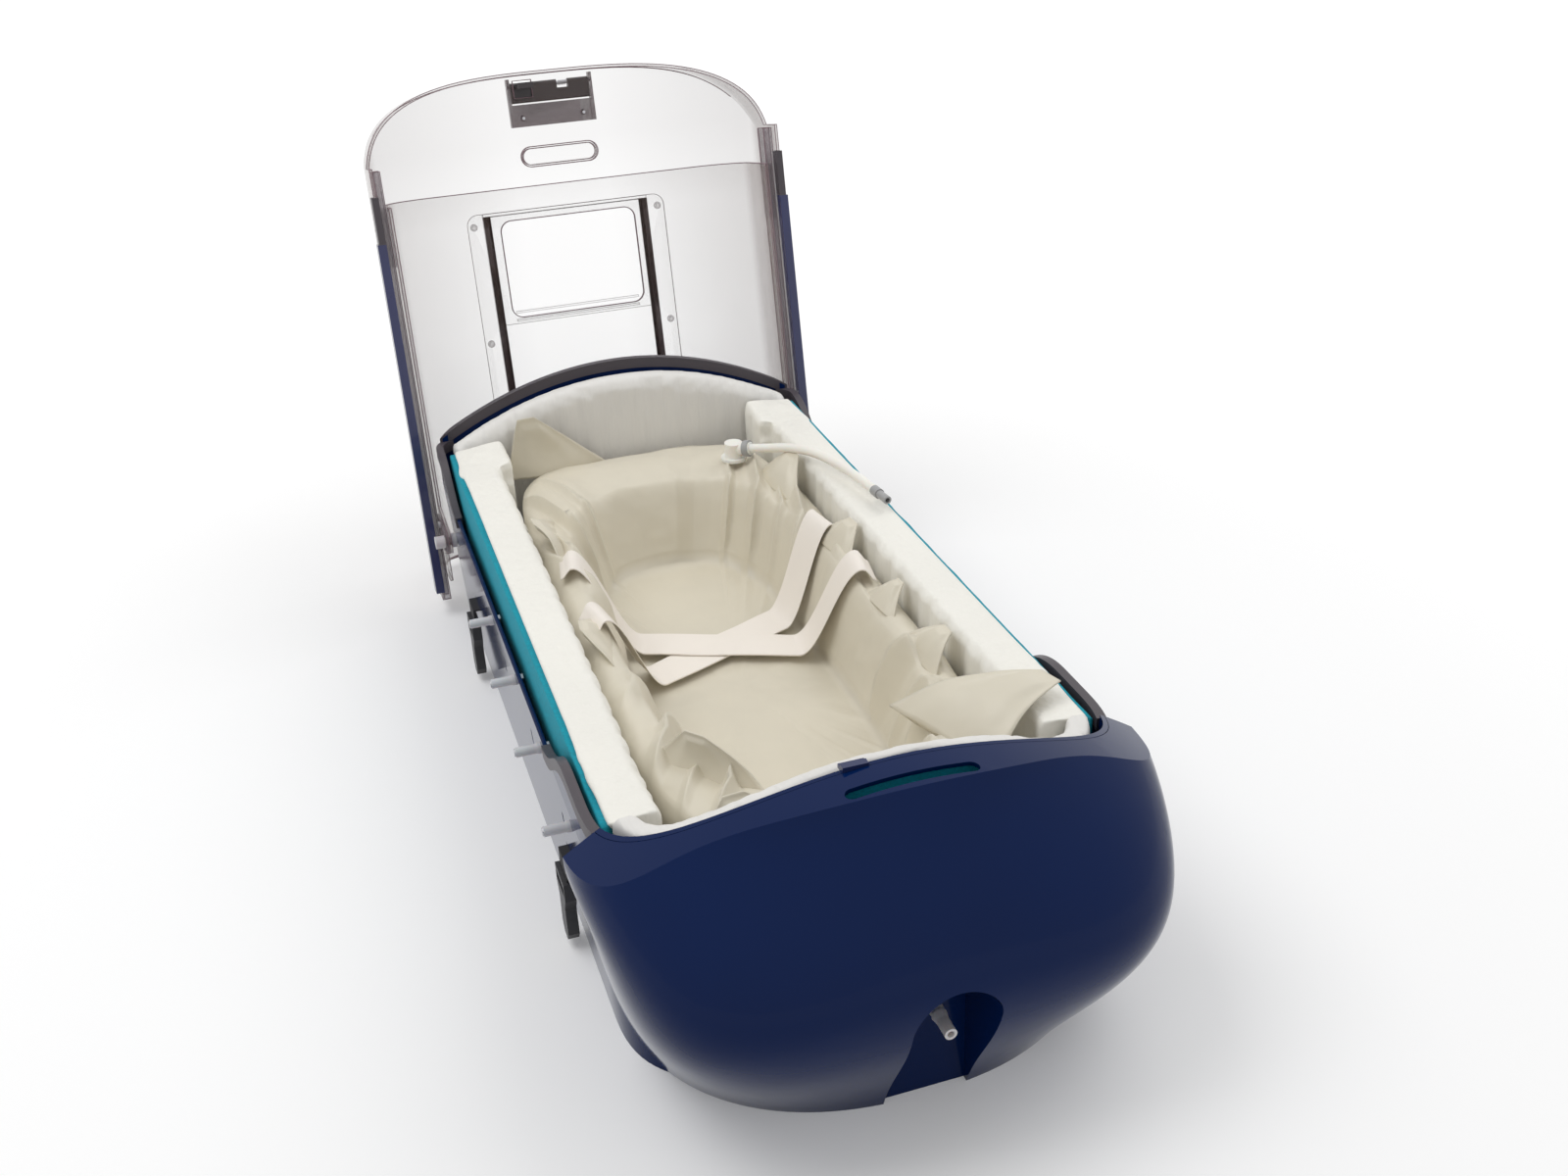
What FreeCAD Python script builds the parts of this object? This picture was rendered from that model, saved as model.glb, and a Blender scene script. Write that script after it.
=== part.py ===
import FreeCAD, Part
import math
import os

from FreeCAD import Vector

# Infant transport pod: a tray-shaped tub that a clear two-section lid closes. The lid hinges at
# the foot end and its front section telescopes over its rear one. All sizes are in millimetres.
# +X is the right seen from the head end, +Y is the foot end and +Z is up. The origin is on the
# floor at the middle of the tub. The part is modelled with its lid open and slid back.

# Tub
RIM_HALF_WIDTH = 193.0
BASE_HALF_WIDTH = 184.0
RIM_HEIGHT = 152.0
ARCH_HEIGHT = 250.0
ARCH_FALL = 57.0
SHOULDER_HEIGHT = ARCH_HEIGHT - 60.0
HEADROOM = 60.0
FOOT_END = 384.0
HEAD_END = -404.0
HEAD_ROUND_START = -290.0
HEAD_POWER = 3.0
FOOT_CORNER = 22.0
TUB_WALL = 3.5
TUB_FLOOR = 5.0
FOOT_SHOULDER_SPAN = (262.0, 368.0)
HEAD_SHOULDER_SPAN = (-150.0, -262.0)

# Rubber trim on the raised edges
TRIM_THICKNESS = 1.8
TRIM_DROP = 9.0

# Nose cover: level height, reach forward, half width and roundness of each moulded section
NOSE_LEVELS = (
    (0.0, 451.0, 177.0, 2.3),
    (45.0, 472.0, 187.0, 3.1),
    (90.0, 496.0, 196.0, 3.8),
    (135.0, 506.0, 205.0, 3.65),
    (SHOULDER_HEIGHT, 483.0, 213.5, 2.4),
    (ARCH_HEIGHT - 28.0, 458.0, 203.0, 1.85),
    (ARCH_HEIGHT + 6.0, 434.0, 189.0, 2.1),
)
NOSE_WALL = 3.0
NOSE_REAR = -333.0
NOSE_TUB_GAP = 0.4
HANDLE_SLOT_HALF = 46.0
HANDLE_SLOT_WIDTH = 11.0
HANDLE_SLOT_Y = -427.0
HANDLE_POCKET_DEPTH = 42.0
NOTCH_HALF_WIDTH = 31.0
NOTCH_HEIGHT = 137.0
NOTCH_REAR = -445.0
NOTCH_WALL = 3.0
FOAM_GAP = 0.5

# Drain barb in the notch
BARB_Z = 90.0
BARB_BORE = 2.5
BARB_STEM = 5.0
BARB_SPOUT = 4.4
BARB_FLANGE = 9.0
BARB_FLANGE_THICKNESS = 3.0
BARB_CONE = 12.0
BARB_REACH = 46.0
BARB_PLAIN = 13.0
BARB_NUT = 5.0

# Side pegs and hinge pins
PEG_Z = 138.0
PEG_RADIUS = 4.0
PEG_LENGTH = 20.0
PEG_FIRST_Y = 82.0
PEG_PITCH = 109.0
PEG_COUNT = 4
PEG_SCREW = 2.0
PEG_NUT = 4.2
PEG_NUT_THICKNESS = 3.0
WALL_SLOT_Z = 114.0
WALL_SLOT_SIZE = (5.0, 14.0)
WALL_SLOT_FIRST_Y = 41.0
WALL_SLOT_PITCH = 122.0
WALL_SLOT_COUNT = 3
HINGE_Y = 334.0
HINGE_Z = 101.0
HINGE_PIN_RADIUS = 4.5
HINGE_PIN_LENGTH = 22.0
HINGE_RUN = 0.08
HINGE_COLLAR_GAP = 0.6

# Tie-down straps and buckles
TIE_DOWN_Y = (222.0, -205.0)
TIE_SLOT_Z = 82.0
TIE_WIDTH = 26.0
TIE_WEB = 1.6
TIE_DROP = 22.0
BUCKLE_HEIGHT = 60.0
BUCKLE_THICKNESS = 9.0
BUCKLE_BAR = 2.4

# Liner foam, bolsters and mattresses
LINER_OUTER = 184.0
LINER_RELIEF = 178.4
LINER_RELIEF_TOP = 120.0
LINER_INNER = 176.0
LINER_TOP = 189.0
LINER_SPAN = (-326.0, 347.0)
SOFT_GAP = 0.4
BOLSTER_WIDTH = 34.6
BOLSTER_TOP = 200.0
BOLSTER_SPAN = (-330.0, 292.0)
BOLSTER_ROUND = 7.0
FOOT_BLOCK_WIDTH = 48.0
FOOT_BLOCK_OVERHANG = 10.0
FOOT_PAD_THICKNESS = 30.0
HEAD_PAD_THICKNESS = 26.0
PAD_BELOW_RIM = 8.0
BASE_MATTRESS_TOP = 45.0
BASE_MATTRESS_HALF = 140.4
MATTRESS_TOP = 176.0
MATTRESS_HALF_WIDTH = 138.0
MATTRESS_SPAN = (-341.0, 338.0)
COCOON_FLOOR = 92.0
COCOON_TOP_HALF = 112.0
COCOON_FLOOR_HALF = 84.0
COCOON_SPAN = (-296.0, 228.0)
COCOON_END_SLOPE = 16.0
FLAP_TOP = 224.0
FLAP_TIP = (-108.0, 312.0)
FLAP_FEET = (-18.0, 40.0)
FLAP_THICKNESS = 26.0

# Vacuum valve, hose and its connector
VALVE_BASE = (88.0, 252.0)
VALVE_RADIUS = 13.0
SPOUT_RADIUS = 6.5
SPOUT_LENGTH = 20.0
HOSE_DIAMETER = 9.0
HOSE_POINTS = (
    (102.0, 238.0, 191.0),
    (117.0, 222.5, 195.0),
    (133.0, 201.0, 201.5),
    (147.0, 173.0, 205.2),
    (158.0, 140.0, 205.0),
    (165.0, 105.0, 205.0),
    (169.0, 70.0, 205.0),
)
CONNECTOR_LENGTH = 26.0
CONNECTOR_RADIUS = 4.9

# Harness: two straps that cross on the cocoon's floor
STRAP_WIDTH = 34.0
STRAP_THICKNESS = 2.0
STRAP_END = 128.0
STRAP_SKEW = 0.42
STRAP_CROSSING_Y = 25.0

# Lid profile: two sections, the front one over the rear one
LID_OPEN = 101.6
REAR_HALF_WIDTH = 199.0
REAR_TOP = ARCH_HEIGHT - HINGE_Z + 14.5
REAR_CORNER = 55.0
LID_SHEET = 2.5
LID_GAP_TOP = 2.2
LID_GAP_SIDE = 10.5
FRONT_CORNER = 57.0
REAR_SKIRT = 50.0
REAR_FOOT = -56.0
REAR_HEAD = 334.0
FRONT_SKIRT = 45.0
FRONT_FOOT = -61.0
FRONT_STEP = 373.0
FRONT_BOW_START = 336.0
FRONT_BOW_DEPTH = 116.0
FRONT_BOW_FLARE = 2.3
LID_OVERHANG = 4.0
SLIDE_TRAVEL = HINGE_Y - HEAD_END + LID_OVERHANG - FRONT_BOW_START - FRONT_BOW_DEPTH
LIP_GAP = 3.2
HEAD_EDGE_ROUND = 9.0

# Hinge ear and bracket
EAR_RADIUS = 13.0
EAR_HALF_WIDTH = 26.0
BRACKET_THICKNESS = 2.6
BRACKET_TOP = 55.0

# Rails and slider blocks
RAIL_N = (58.0, 80.0)
RAIL_WEB = 2.2
RAIL_REACH = 8.4
RAIL_SPAN = (-78.0, 370.0)
SLIDER_SPAN = (275.0, 334.0)
SLIDER_CLEARANCE = 0.5

# Edge strips and seals on the front section
EDGE_STRIP_SPAN = (-66.0, 300.0)
EDGE_STRIP_WALL = 2.0
EDGE_STRIP_OUT = 4.2
EDGE_STRIP_TOP = 62.0
EDGE_STRIP_INNER_TOP = 54.0
SEAL_SPAN = (300.0, 346.0)
SEAL_OUT = 2.4

# Hatch
HATCH_OPENING = (195.0, 300.0)
HATCH_HALF_WIDTH = 75.0
HATCH_CORNER = 12.0
HATCH_FRAME_SPAN = (43.0, 310.0)
HATCH_FRAME_HALF = 110.0
HATCH_FRAME_THICKNESS = 2.0
HATCH_PANEL_SPAN = (188.0, 306.0)
HATCH_PANEL_HALF = 86.5
HATCH_PANEL_THICKNESS = 3.0
HATCH_TRAVEL = 110.0
HATCH_CLEARANCE = 0.4
GUIDE_SPARE = 6.0
GUIDE_SPAN = (HATCH_PANEL_SPAN[0] - HATCH_TRAVEL - GUIDE_SPARE, HATCH_PANEL_SPAN[1] + 0.6)
GUIDE_WEB = 5.0
GUIDE_LIP = 3.6
GUIDE_HEIGHT = 6.5
STOP_WIDTH = 3.0
STOP_HEIGHT = 4.8
RIB_HALF = 70.0
RIB_WIDTH = 2.0
RIB_HEIGHT = 5.0
RIB_PITCH = 9.0
HATCH_SCREW_X = 103.0
HATCH_SCREW_U = (52.0, 170.0, 297.0)
HATCH_SCREW_RADIUS = 4.0

# Finger recess behind the latch
RECESS_HALF = 40.0
RECESS_SPAN = (356.0, 373.0)
RECESS_DEPTH = 6.0
RECESS_WALL = 2.0

# Latch
LATCH_HALF = 42.6
LATCH_PIVOT_RISE = 4.8
LATCH_PIVOT_U = FRONT_BOW_START + FRONT_BOW_DEPTH - 14.0
LATCH_BASE_LENGTH = 23.0
LATCH_BASE_END = LATCH_PIVOT_U - 19.0
LATCH_BASE_THICKNESS = 3.0
LATCH_CHEEK = 3.4
LATCH_CHEEK_END = LATCH_PIVOT_U + 8.0
LATCH_CHEEK_HEIGHT = 8.6
LATCH_ROLL = 3.8
LATCH_LEVER_START = LATCH_BASE_END + 1.5
LATCH_PIN_RADIUS = 1.6
LATCH_RUN = 0.06
LATCH_SIDE_GAP = 0.5
LATCH_BLADE = 2.6
LATCH_BLADE_HALF = 8.0
LATCH_NOSE_HEIGHT = 3.4
LATCH_NOSE_GAP = 0.5
LATCH_SCREW = 1.6
LATCH_SCREW_X = 33.0
SPRING_X = (8.0, 20.0)
SPRING_WIRE = 0.8
KEEPER_X = -30.0
KEEPER_HALF = 9.0
KEEPER_SHEET = 2.0
KEEPER_LIP = 4.0
KEEPER_LIP_Z = ARCH_HEIGHT - 4.0

# How finely the rounded plan is drawn
ROUND_STEPS = 16
FINE_STEPS = 480

AXIS_X = Vector(1, 0, 0)
AXIS_Y = Vector(0, 1, 0)
AXIS_Z = Vector(0, 0, 1)
HINGE = Vector(0, HINGE_Y, HINGE_Z)
FAR = 700.0


# Helpers

def box(low, high):
    """A block between two opposite corners."""
    size = Vector(*high) - Vector(*low)
    return Part.makeBox(size.x, size.y, size.z, Vector(*low))


def rod(radius, start, axis, length):
    return Part.makeCylinder(radius, length, Vector(*start), axis)


def mirrored(shape):
    """The same piece on the other side of the pod."""
    return shape.mirror(Vector(0, 0, 0), AXIS_X)


def both_sides(shape):
    return [shape, mirrored(shape)]


def fused(shapes):
    """One solid from pieces that meet."""
    whole = shapes[0].fuse(list(shapes[1:])) if len(shapes) > 1 else shapes[0]
    return whole.removeSplitter()


def polygon(points):
    """A flat face with straight sides."""
    return Part.Face(Part.makePolygon([Vector(*p) for p in points] + [Vector(*points[0])]))


def prism_x(points, low, high):
    """A shape drawn in the side view, as (y, z), and run from low to high across the pod."""
    return polygon([(low, y, z) for y, z in points]).extrude(Vector(high - low, 0, 0))


def prism_y(points, low, high):
    """A shape drawn in the end view, as (x, z), and run from low to high along the pod."""
    return polygon([(x, low, z) for x, z in points]).extrude(Vector(0, high - low, 0))


def rounded_bar(half_length, width, low, high, y):
    """A slot shape in plan with round ends, centred at x = 0."""
    radius = width / 2
    middle = box((-half_length + radius, y - radius, low), (half_length - radius, y + radius, high))
    centre_x = half_length - radius
    ends = [rod(radius, (x, y, low), AXIS_Z, high - low) for x in (-centre_x, centre_x)]
    return fused([middle] + ends)


# Tub

def tub_half_width(z):
    """Half width of the tub at a height: its sides draw in below the rim."""
    share = min(z / RIM_HEIGHT, 1.0)
    return BASE_HALF_WIDTH + (RIM_HALF_WIDTH - BASE_HALF_WIDTH) * share


def superellipse(half_width, start, depth, power, z):
    """Closely spaced points of a superellipse half, from +x round the head end to -x."""
    points = []
    for step in range(FINE_STEPS + 1):
        angle = math.pi * step / FINE_STEPS
        across = math.cos(angle)
        forward = round(math.sin(angle), 12)
        x = math.copysign(abs(across) ** (2 / power), across) * half_width
        y = start - depth * forward ** (2 / power)
        points.append(Vector(x, y, z))
    return points


def evenly_spaced(points, count):
    """Points at equal distances along a run of close points, and the run's length."""
    travelled = [0.0]
    for before, here in zip(points, points[1:]):
        travelled.append(travelled[-1] + (here - before).Length)
    chosen = []
    index = 0
    for step in range(count + 1):
        wanted = travelled[-1] * step / count
        while index < len(points) - 2 and travelled[index + 1] < wanted:
            index += 1
        share = (wanted - travelled[index]) / (travelled[index + 1] - travelled[index])
        chosen.append(points[index] + (points[index + 1] - points[index]) * share)
    return chosen, travelled[-1]


def rounded_end(half_width, start, depth, power, z):
    """The round head end in plan, from +x to -x, as one smooth curve with even knots."""
    fine = superellipse(half_width, start, depth, power, z)
    points, length = evenly_spaced(fine, ROUND_STEPS)
    knots = [step / ROUND_STEPS for step in range(ROUND_STEPS + 1)]
    ends = {"InitialTangent": -AXIS_Y * length, "FinalTangent": AXIS_Y * length}
    curve = Part.BSplineCurve()
    curve.interpolate(Points=points, Parameters=knots, Scale=False, **ends)
    return curve.toShape()


def tub_outline(offset, z):
    """Outline of the tub in plan at a height, moved outwards by offset."""
    half = tub_half_width(z) + offset
    foot = FOOT_END + offset
    corner = max(FOOT_CORNER + offset, 2.0)
    slant = corner * math.sqrt(0.5)
    left = Vector(-half, HEAD_ROUND_START, z)
    left_corner = Vector(-half, foot - corner, z)
    left_foot = Vector(-half + corner, foot, z)
    right_foot = Vector(half - corner, foot, z)
    right_corner = Vector(half, foot - corner, z)
    right = Vector(half, HEAD_ROUND_START, z)
    left_mid = Vector(-half + corner - slant, foot - corner + slant, z)
    right_mid = Vector(half - corner + slant, foot - corner + slant, z)
    depth = HEAD_ROUND_START - HEAD_END + offset
    edges = [
        Part.LineSegment(left, left_corner).toShape(),
        Part.Arc(left_corner, left_mid, left_foot).toShape(),
        Part.LineSegment(left_foot, right_foot).toShape(),
        Part.Arc(right_foot, right_mid, right_corner).toShape(),
        Part.LineSegment(right_corner, right).toShape(),
        rounded_end(half, HEAD_ROUND_START, depth, HEAD_POWER, z),
    ]
    return Part.Wire(edges)


def tub_body(offset, low, high):
    """Solid inside the tub's outline: drawn in below the rim and upright above it."""
    lower = Part.makeLoft([tub_outline(offset, low), tub_outline(offset, min(high, RIM_HEIGHT))], True, True)
    if high <= RIM_HEIGHT:
        return lower
    upper = Part.Face(tub_outline(offset, RIM_HEIGHT)).extrude(Vector(0, 0, high - RIM_HEIGHT))
    return fused([lower, upper])


def vault_z(x, lift=0.0):
    """Height of the arched ends across the pod."""
    return ARCH_HEIGHT + lift - ARCH_FALL * (x / 190.0) ** 2


def below_vault(lift):
    """All space below the arch of the two ends."""
    reach = 2 * RIM_HALF_WIDTH
    edge_z = vault_z(reach, lift)
    crown = Part.BezierCurve()
    crown.setPoles([
        Vector(reach, -FAR, edge_z),
        Vector(0, -FAR, 2 * (ARCH_HEIGHT + lift) - edge_z),
        Vector(-reach, -FAR, edge_z),
    ])
    floor_z = edge_z - 50
    sides = Part.makePolygon([
        Vector(-reach, -FAR, edge_z),
        Vector(-reach, -FAR, floor_z),
        Vector(reach, -FAR, floor_z),
        Vector(reach, -FAR, edge_z),
    ])
    face = Part.Face(Part.Wire([crown.toShape()] + sides.Edges))
    return face.extrude(Vector(0, 2 * FAR, 0))


def ramp(start, end):
    """An S-shaped rise in the side view from one level to another, as an edge."""
    middle = (start[0] + end[0]) / 2
    curve = Part.BezierCurve()
    curve.setPoles([
        Vector(-FAR, start[0], start[1]),
        Vector(-FAR, middle, start[1]),
        Vector(-FAR, middle, end[1]),
        Vector(-FAR, end[0], end[1]),
    ])
    return curve.toShape()


def below_rim(lift):
    """All space below the tub's edge: low along the sides, up to the vault at both ends."""
    foot_land = FOOT_END - TUB_WALL - TRIM_THICKNESS - 0.5
    top = ARCH_HEIGHT + HEADROOM
    rim = RIM_HEIGHT + lift
    shoulder = SHOULDER_HEIGHT + lift
    foot_low = (FOOT_SHOULDER_SPAN[0], rim)
    foot_high = (FOOT_SHOULDER_SPAN[1], shoulder)
    head_low = (HEAD_SHOULDER_SPAN[0], rim)
    head_high = (HEAD_SHOULDER_SPAN[1], shoulder)
    corners = [
        head_high, (NOSE_REAR, shoulder), (NOSE_REAR, top), (-FAR, top), (-FAR, -10), (FAR, -10), (FAR, top),
        (foot_land, top), (foot_land, shoulder), foot_high,
    ]
    lines = Part.makePolygon([Vector(-FAR, y, z) for y, z in corners]).Edges
    middle = Part.LineSegment(Vector(-FAR, *foot_low), Vector(-FAR, *head_low)).toShape()
    edges = lines + [ramp(foot_high, foot_low), middle, ramp(head_low, head_high)]
    side = Part.Face(Part.Wire(Part.__sortEdges__(edges))).extrude(Vector(2 * FAR, 0, 0))
    return side.common(below_vault(lift))


def tub_shell():
    """Moulded tray with a thin wall, strap slots, and holes for the pegs and hinge pins."""
    shell = tub_body(0, 0, ARCH_HEIGHT + 5).common(below_rim(0))
    inside = tub_body(-TUB_WALL, TUB_FLOOR, ARCH_HEIGHT + 20)
    cuts = [inside]
    for y in TIE_DOWN_Y:
        half = TIE_WIDTH / 2 + 1.5
        slot = box((BASE_HALF_WIDTH - 12, y - half, TIE_SLOT_Z - 3), (FAR, y + half, TIE_SLOT_Z + 3))
        cuts += both_sides(slot)
    for y in peg_stations():
        cuts += both_sides(rod(PEG_SCREW, (BASE_HALF_WIDTH - 12, y, PEG_Z), AXIS_X, 40))
    for index in range(WALL_SLOT_COUNT):
        y = WALL_SLOT_FIRST_Y - WALL_SLOT_PITCH * index
        half_w = WALL_SLOT_SIZE[0] / 2
        half_h = WALL_SLOT_SIZE[1] / 2
        low = (BASE_HALF_WIDTH - 12, y - half_w, WALL_SLOT_Z - half_h)
        cuts += both_sides(box(low, (FAR, y + half_w, WALL_SLOT_Z + half_h)))
    cuts += both_sides(rod(HINGE_PIN_RADIUS, (BASE_HALF_WIDTH - 12, HINGE_Y, HINGE_Z), AXIS_X, 40))
    return shell.cut(cuts)


def edge_trim(region):
    """Rubber channel that caps the tub's edge inside one region."""
    outer = tub_body(TRIM_THICKNESS, 20, ARCH_HEIGHT + 30)
    inner = tub_body(-TUB_WALL - TRIM_THICKNESS, 20, ARCH_HEIGHT + 40)
    band = below_rim(TRIM_THICKNESS).cut(below_rim(-TRIM_DROP))
    return outer.cut(inner).common(band).common(region).cut(tub_shell())


def foot_edge_trim():
    low_y = FOOT_SHOULDER_SPAN[0] + 8
    return edge_trim(box((-FAR, low_y, 0), (FAR, FAR, FAR)))


def head_edge_trim():
    """Trim of the left head shoulder."""
    first = NOSE_REAR + 1.0
    last = HEAD_SHOULDER_SPAN[0] - 8
    return edge_trim(box((-FAR, first, 0), (0, last, FAR)))


# Nose cover

def nose_wire(level, inset):
    """One section of the nose cover: a round front closed by a straight line."""
    z, reach, half, power = level
    depth = HEAD_ROUND_START + reach - inset
    curve = rounded_end(half - inset, HEAD_ROUND_START, depth, power, z)
    ends = [Vector(-(half - inset), HEAD_ROUND_START, z), Vector(half - inset, HEAD_ROUND_START, z)]
    return Part.Wire([curve, Part.LineSegment(*ends).toShape()])


def nose_body(inset):
    """Bulbous solid lofted through the nose's sections."""
    return Part.makeLoft([nose_wire(level, inset) for level in NOSE_LEVELS], True, False)


def notch(margin):
    """Scoop out of the nose's overhang, upright at the back, where the drain barb comes out."""
    half = NOTCH_HALF_WIDTH + margin
    arch_centre = NOTCH_HEIGHT - NOTCH_HALF_WIDTH
    rear = NOTCH_REAR + margin
    tall = box((-half, rear - FAR, -10), (half, rear, arch_centre))
    round_top = rod(half, (0, rear - FAR, arch_centre), AXIS_Y, FAR)
    return fused([tall, round_top])


def nose_space():
    """Where the nose cover may be: in front of its rear edge, below the vault and round the tub."""
    front = box((-FAR, -FAR, 0), (FAR, NOSE_REAR, FAR))
    tub = tub_body(NOSE_TUB_GAP, 0, ARCH_HEIGHT + HEADROOM)
    return front.common(below_vault(0)).cut(tub)


def nose_cover():
    """Glossy shell round the head end, with a hand slot in its top and a notch at its bottom."""
    outer = nose_body(0).common(nose_space())
    hollow = nose_body(NOSE_WALL).common(below_vault(-NOSE_WALL))
    hollow = hollow.common(box((-FAR, -FAR, -1), (FAR, NOSE_REAR - NOSE_WALL, FAR)))
    hollow = hollow.cut(notch(NOTCH_WALL))
    slot = rounded_bar(HANDLE_SLOT_HALF, HANDLE_SLOT_WIDTH, ARCH_HEIGHT - 20, ARCH_HEIGHT + 20, HANDLE_SLOT_Y)
    barb_hole = rod(BARB_STEM, (0, NOTCH_REAR - 5, BARB_Z), AXIS_Y, 20)
    return outer.cut([hollow, notch(0), slot, barb_hole])


def nose_foam():
    """Crush foam that fills the nose, with a pocket for fingers under the slot."""
    inset = NOSE_WALL + FOAM_GAP
    block = nose_body(inset).common(below_vault(-inset))
    block = block.common(box((-FAR, -FAR, TUB_FLOOR), (FAR, NOSE_REAR - inset, FAR)))
    pocket_width = HANDLE_SLOT_WIDTH + 5
    low = ARCH_HEIGHT - HANDLE_POCKET_DEPTH
    pocket = rounded_bar(HANDLE_SLOT_HALF + 4, pocket_width, low, ARCH_HEIGHT + 20, HANDLE_SLOT_Y)
    tub = tub_body(NOSE_TUB_GAP + FOAM_GAP, 0, ARCH_HEIGHT + HEADROOM)
    nut_room = rod(BARB_STEM + 6, (0, NOTCH_REAR, BARB_Z), AXIS_Y, NOTCH_WALL + BARB_NUT + 4)
    return block.cut([tub, pocket, notch(NOTCH_WALL + FOAM_GAP), nut_room])


def latch_keeper():
    """Small catch that hooks over the head wall and has a lip for the lid's latch."""
    left = KEEPER_X - KEEPER_HALF
    right = KEEPER_X + KEEPER_HALF
    face = HEAD_END + TUB_WALL
    back = face + KEEPER_SHEET
    top = vault_z(KEEPER_X) + KEEPER_SHEET + 0.7
    leg = box((left, face, top - 16), (right, back, top))
    cap = box((left, HEAD_END, top - 6), (right, back, top))
    lip = box((left, face, KEEPER_LIP_Z), (right, back + KEEPER_LIP, KEEPER_LIP_Z + KEEPER_SHEET + 1))
    inside = tub_body(-TUB_WALL, RIM_HEIGHT / 2, ARCH_HEIGHT + 9)
    wall = tub_body(0, RIM_HEIGHT / 2, ARCH_HEIGHT + 5).cut(inside).common(below_rim(0))
    return fused([leg, cap, lip]).cut(wall)


# Drain barb

def drain_barb():
    """Flanged fitting with a wide root and a ribbed spout that points forwards."""
    inner = NOTCH_REAR + NOTCH_WALL + BARB_NUT + 2
    tip = NOTCH_REAR - BARB_REACH
    root = NOTCH_REAR - BARB_FLANGE_THICKNESS
    forwards = -AXIS_Y
    shank = rod(BARB_STEM, (0, inner, BARB_Z), forwards, inner - root)
    flange = rod(BARB_FLANGE, (0, NOTCH_REAR, BARB_Z), forwards, BARB_FLANGE_THICKNESS)
    cone = Part.makeCone(BARB_FLANGE - 1.5, BARB_STEM, BARB_CONE, Vector(0, root, BARB_Z), forwards)
    spout = rod(BARB_SPOUT, (0, root, BARB_Z), forwards, root - tip)
    barbs = []
    start = root - BARB_CONE
    pitch = (start - tip - BARB_PLAIN) / 3
    for index in range(3):
        base = Vector(0, start - pitch * index, BARB_Z)
        barbs.append(Part.makeCone(BARB_STEM + 0.5, BARB_SPOUT, pitch, base, forwards))
    bore = rod(BARB_BORE, (0, inner + 1, BARB_Z), forwards, inner - tip + 2)
    return fused([shank, flange, cone, spout] + barbs).cut(bore)


def drain_nut():
    """Nut on the barb's shank, behind the notch's wall."""
    start = NOTCH_REAR + NOTCH_WALL
    nut = hexagon(BARB_STEM + 4, (0, start, BARB_Z), AXIS_Y, BARB_NUT)
    return nut.cut(rod(BARB_STEM, (0, start - 1, BARB_Z), AXIS_Y, BARB_NUT + 2))


def hexagon(radius, start, axis, thickness):
    """A plain hexagonal nut blank."""
    across = AXIS_Z if abs(axis.z) < 0.5 else AXIS_X
    points = []
    for step in range(7):
        turn = FreeCAD.Rotation(axis, 60 * step)
        points.append(Vector(*start) + turn.multVec(across * radius))
    return Part.Face(Part.makePolygon(points)).extrude(axis * thickness)


# Pegs, hinge pins and tie-downs

def peg_stations():
    return [PEG_FIRST_Y - PEG_PITCH * index for index in range(PEG_COUNT)]


def side_peg(y):
    """Nylon peg on the right side, seated on the tub wall, with a hole for its screw."""
    foot_x = tub_half_width(PEG_Z)
    body = rod(PEG_RADIUS, (foot_x - 1, y, PEG_Z), AXIS_X, PEG_LENGTH + 1)
    collar = rod(PEG_RADIUS + 0.6, (foot_x - 1, y, PEG_Z), AXIS_X, 4)
    shape = fused([body, collar]).cut(rod(PEG_SCREW, (foot_x - 5, y, PEG_Z), AXIS_X, PEG_LENGTH + 9))
    return shape.cut(tub_body(0, 0, ARCH_HEIGHT))


def side_pegs():
    pegs = [side_peg(y) for y in peg_stations()]
    return Part.makeCompound(pegs + [mirrored(peg) for peg in pegs])


def peg_screw(y):
    """Screw through the peg and the wall, with a flat head at the outer end."""
    foot_x = tub_half_width(PEG_Z)
    inner_end = foot_x - TUB_WALL - 0.3 - PEG_NUT_THICKNESS - 0.4
    shank = rod(PEG_SCREW, (inner_end, y, PEG_Z), AXIS_X, foot_x + PEG_LENGTH - inner_end)
    head = rod(PEG_RADIUS - 0.9, (foot_x + PEG_LENGTH, y, PEG_Z), AXIS_X, 0.9)
    return fused([shank, head])


def peg_screws():
    screws = [peg_screw(y) for y in peg_stations()]
    return Part.makeCompound(screws + [mirrored(screw) for screw in screws])


def peg_nut(y):
    outer_x = tub_half_width(PEG_Z) - TUB_WALL - 0.3
    nut = hexagon(PEG_NUT, (outer_x - PEG_NUT_THICKNESS, y, PEG_Z), AXIS_X, PEG_NUT_THICKNESS)
    return nut.cut(rod(PEG_SCREW, (outer_x - 9, y, PEG_Z), AXIS_X, 18))


def peg_nuts():
    nuts = [peg_nut(y) for y in peg_stations()]
    return Part.makeCompound(nuts + [mirrored(nut) for nut in nuts])


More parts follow.
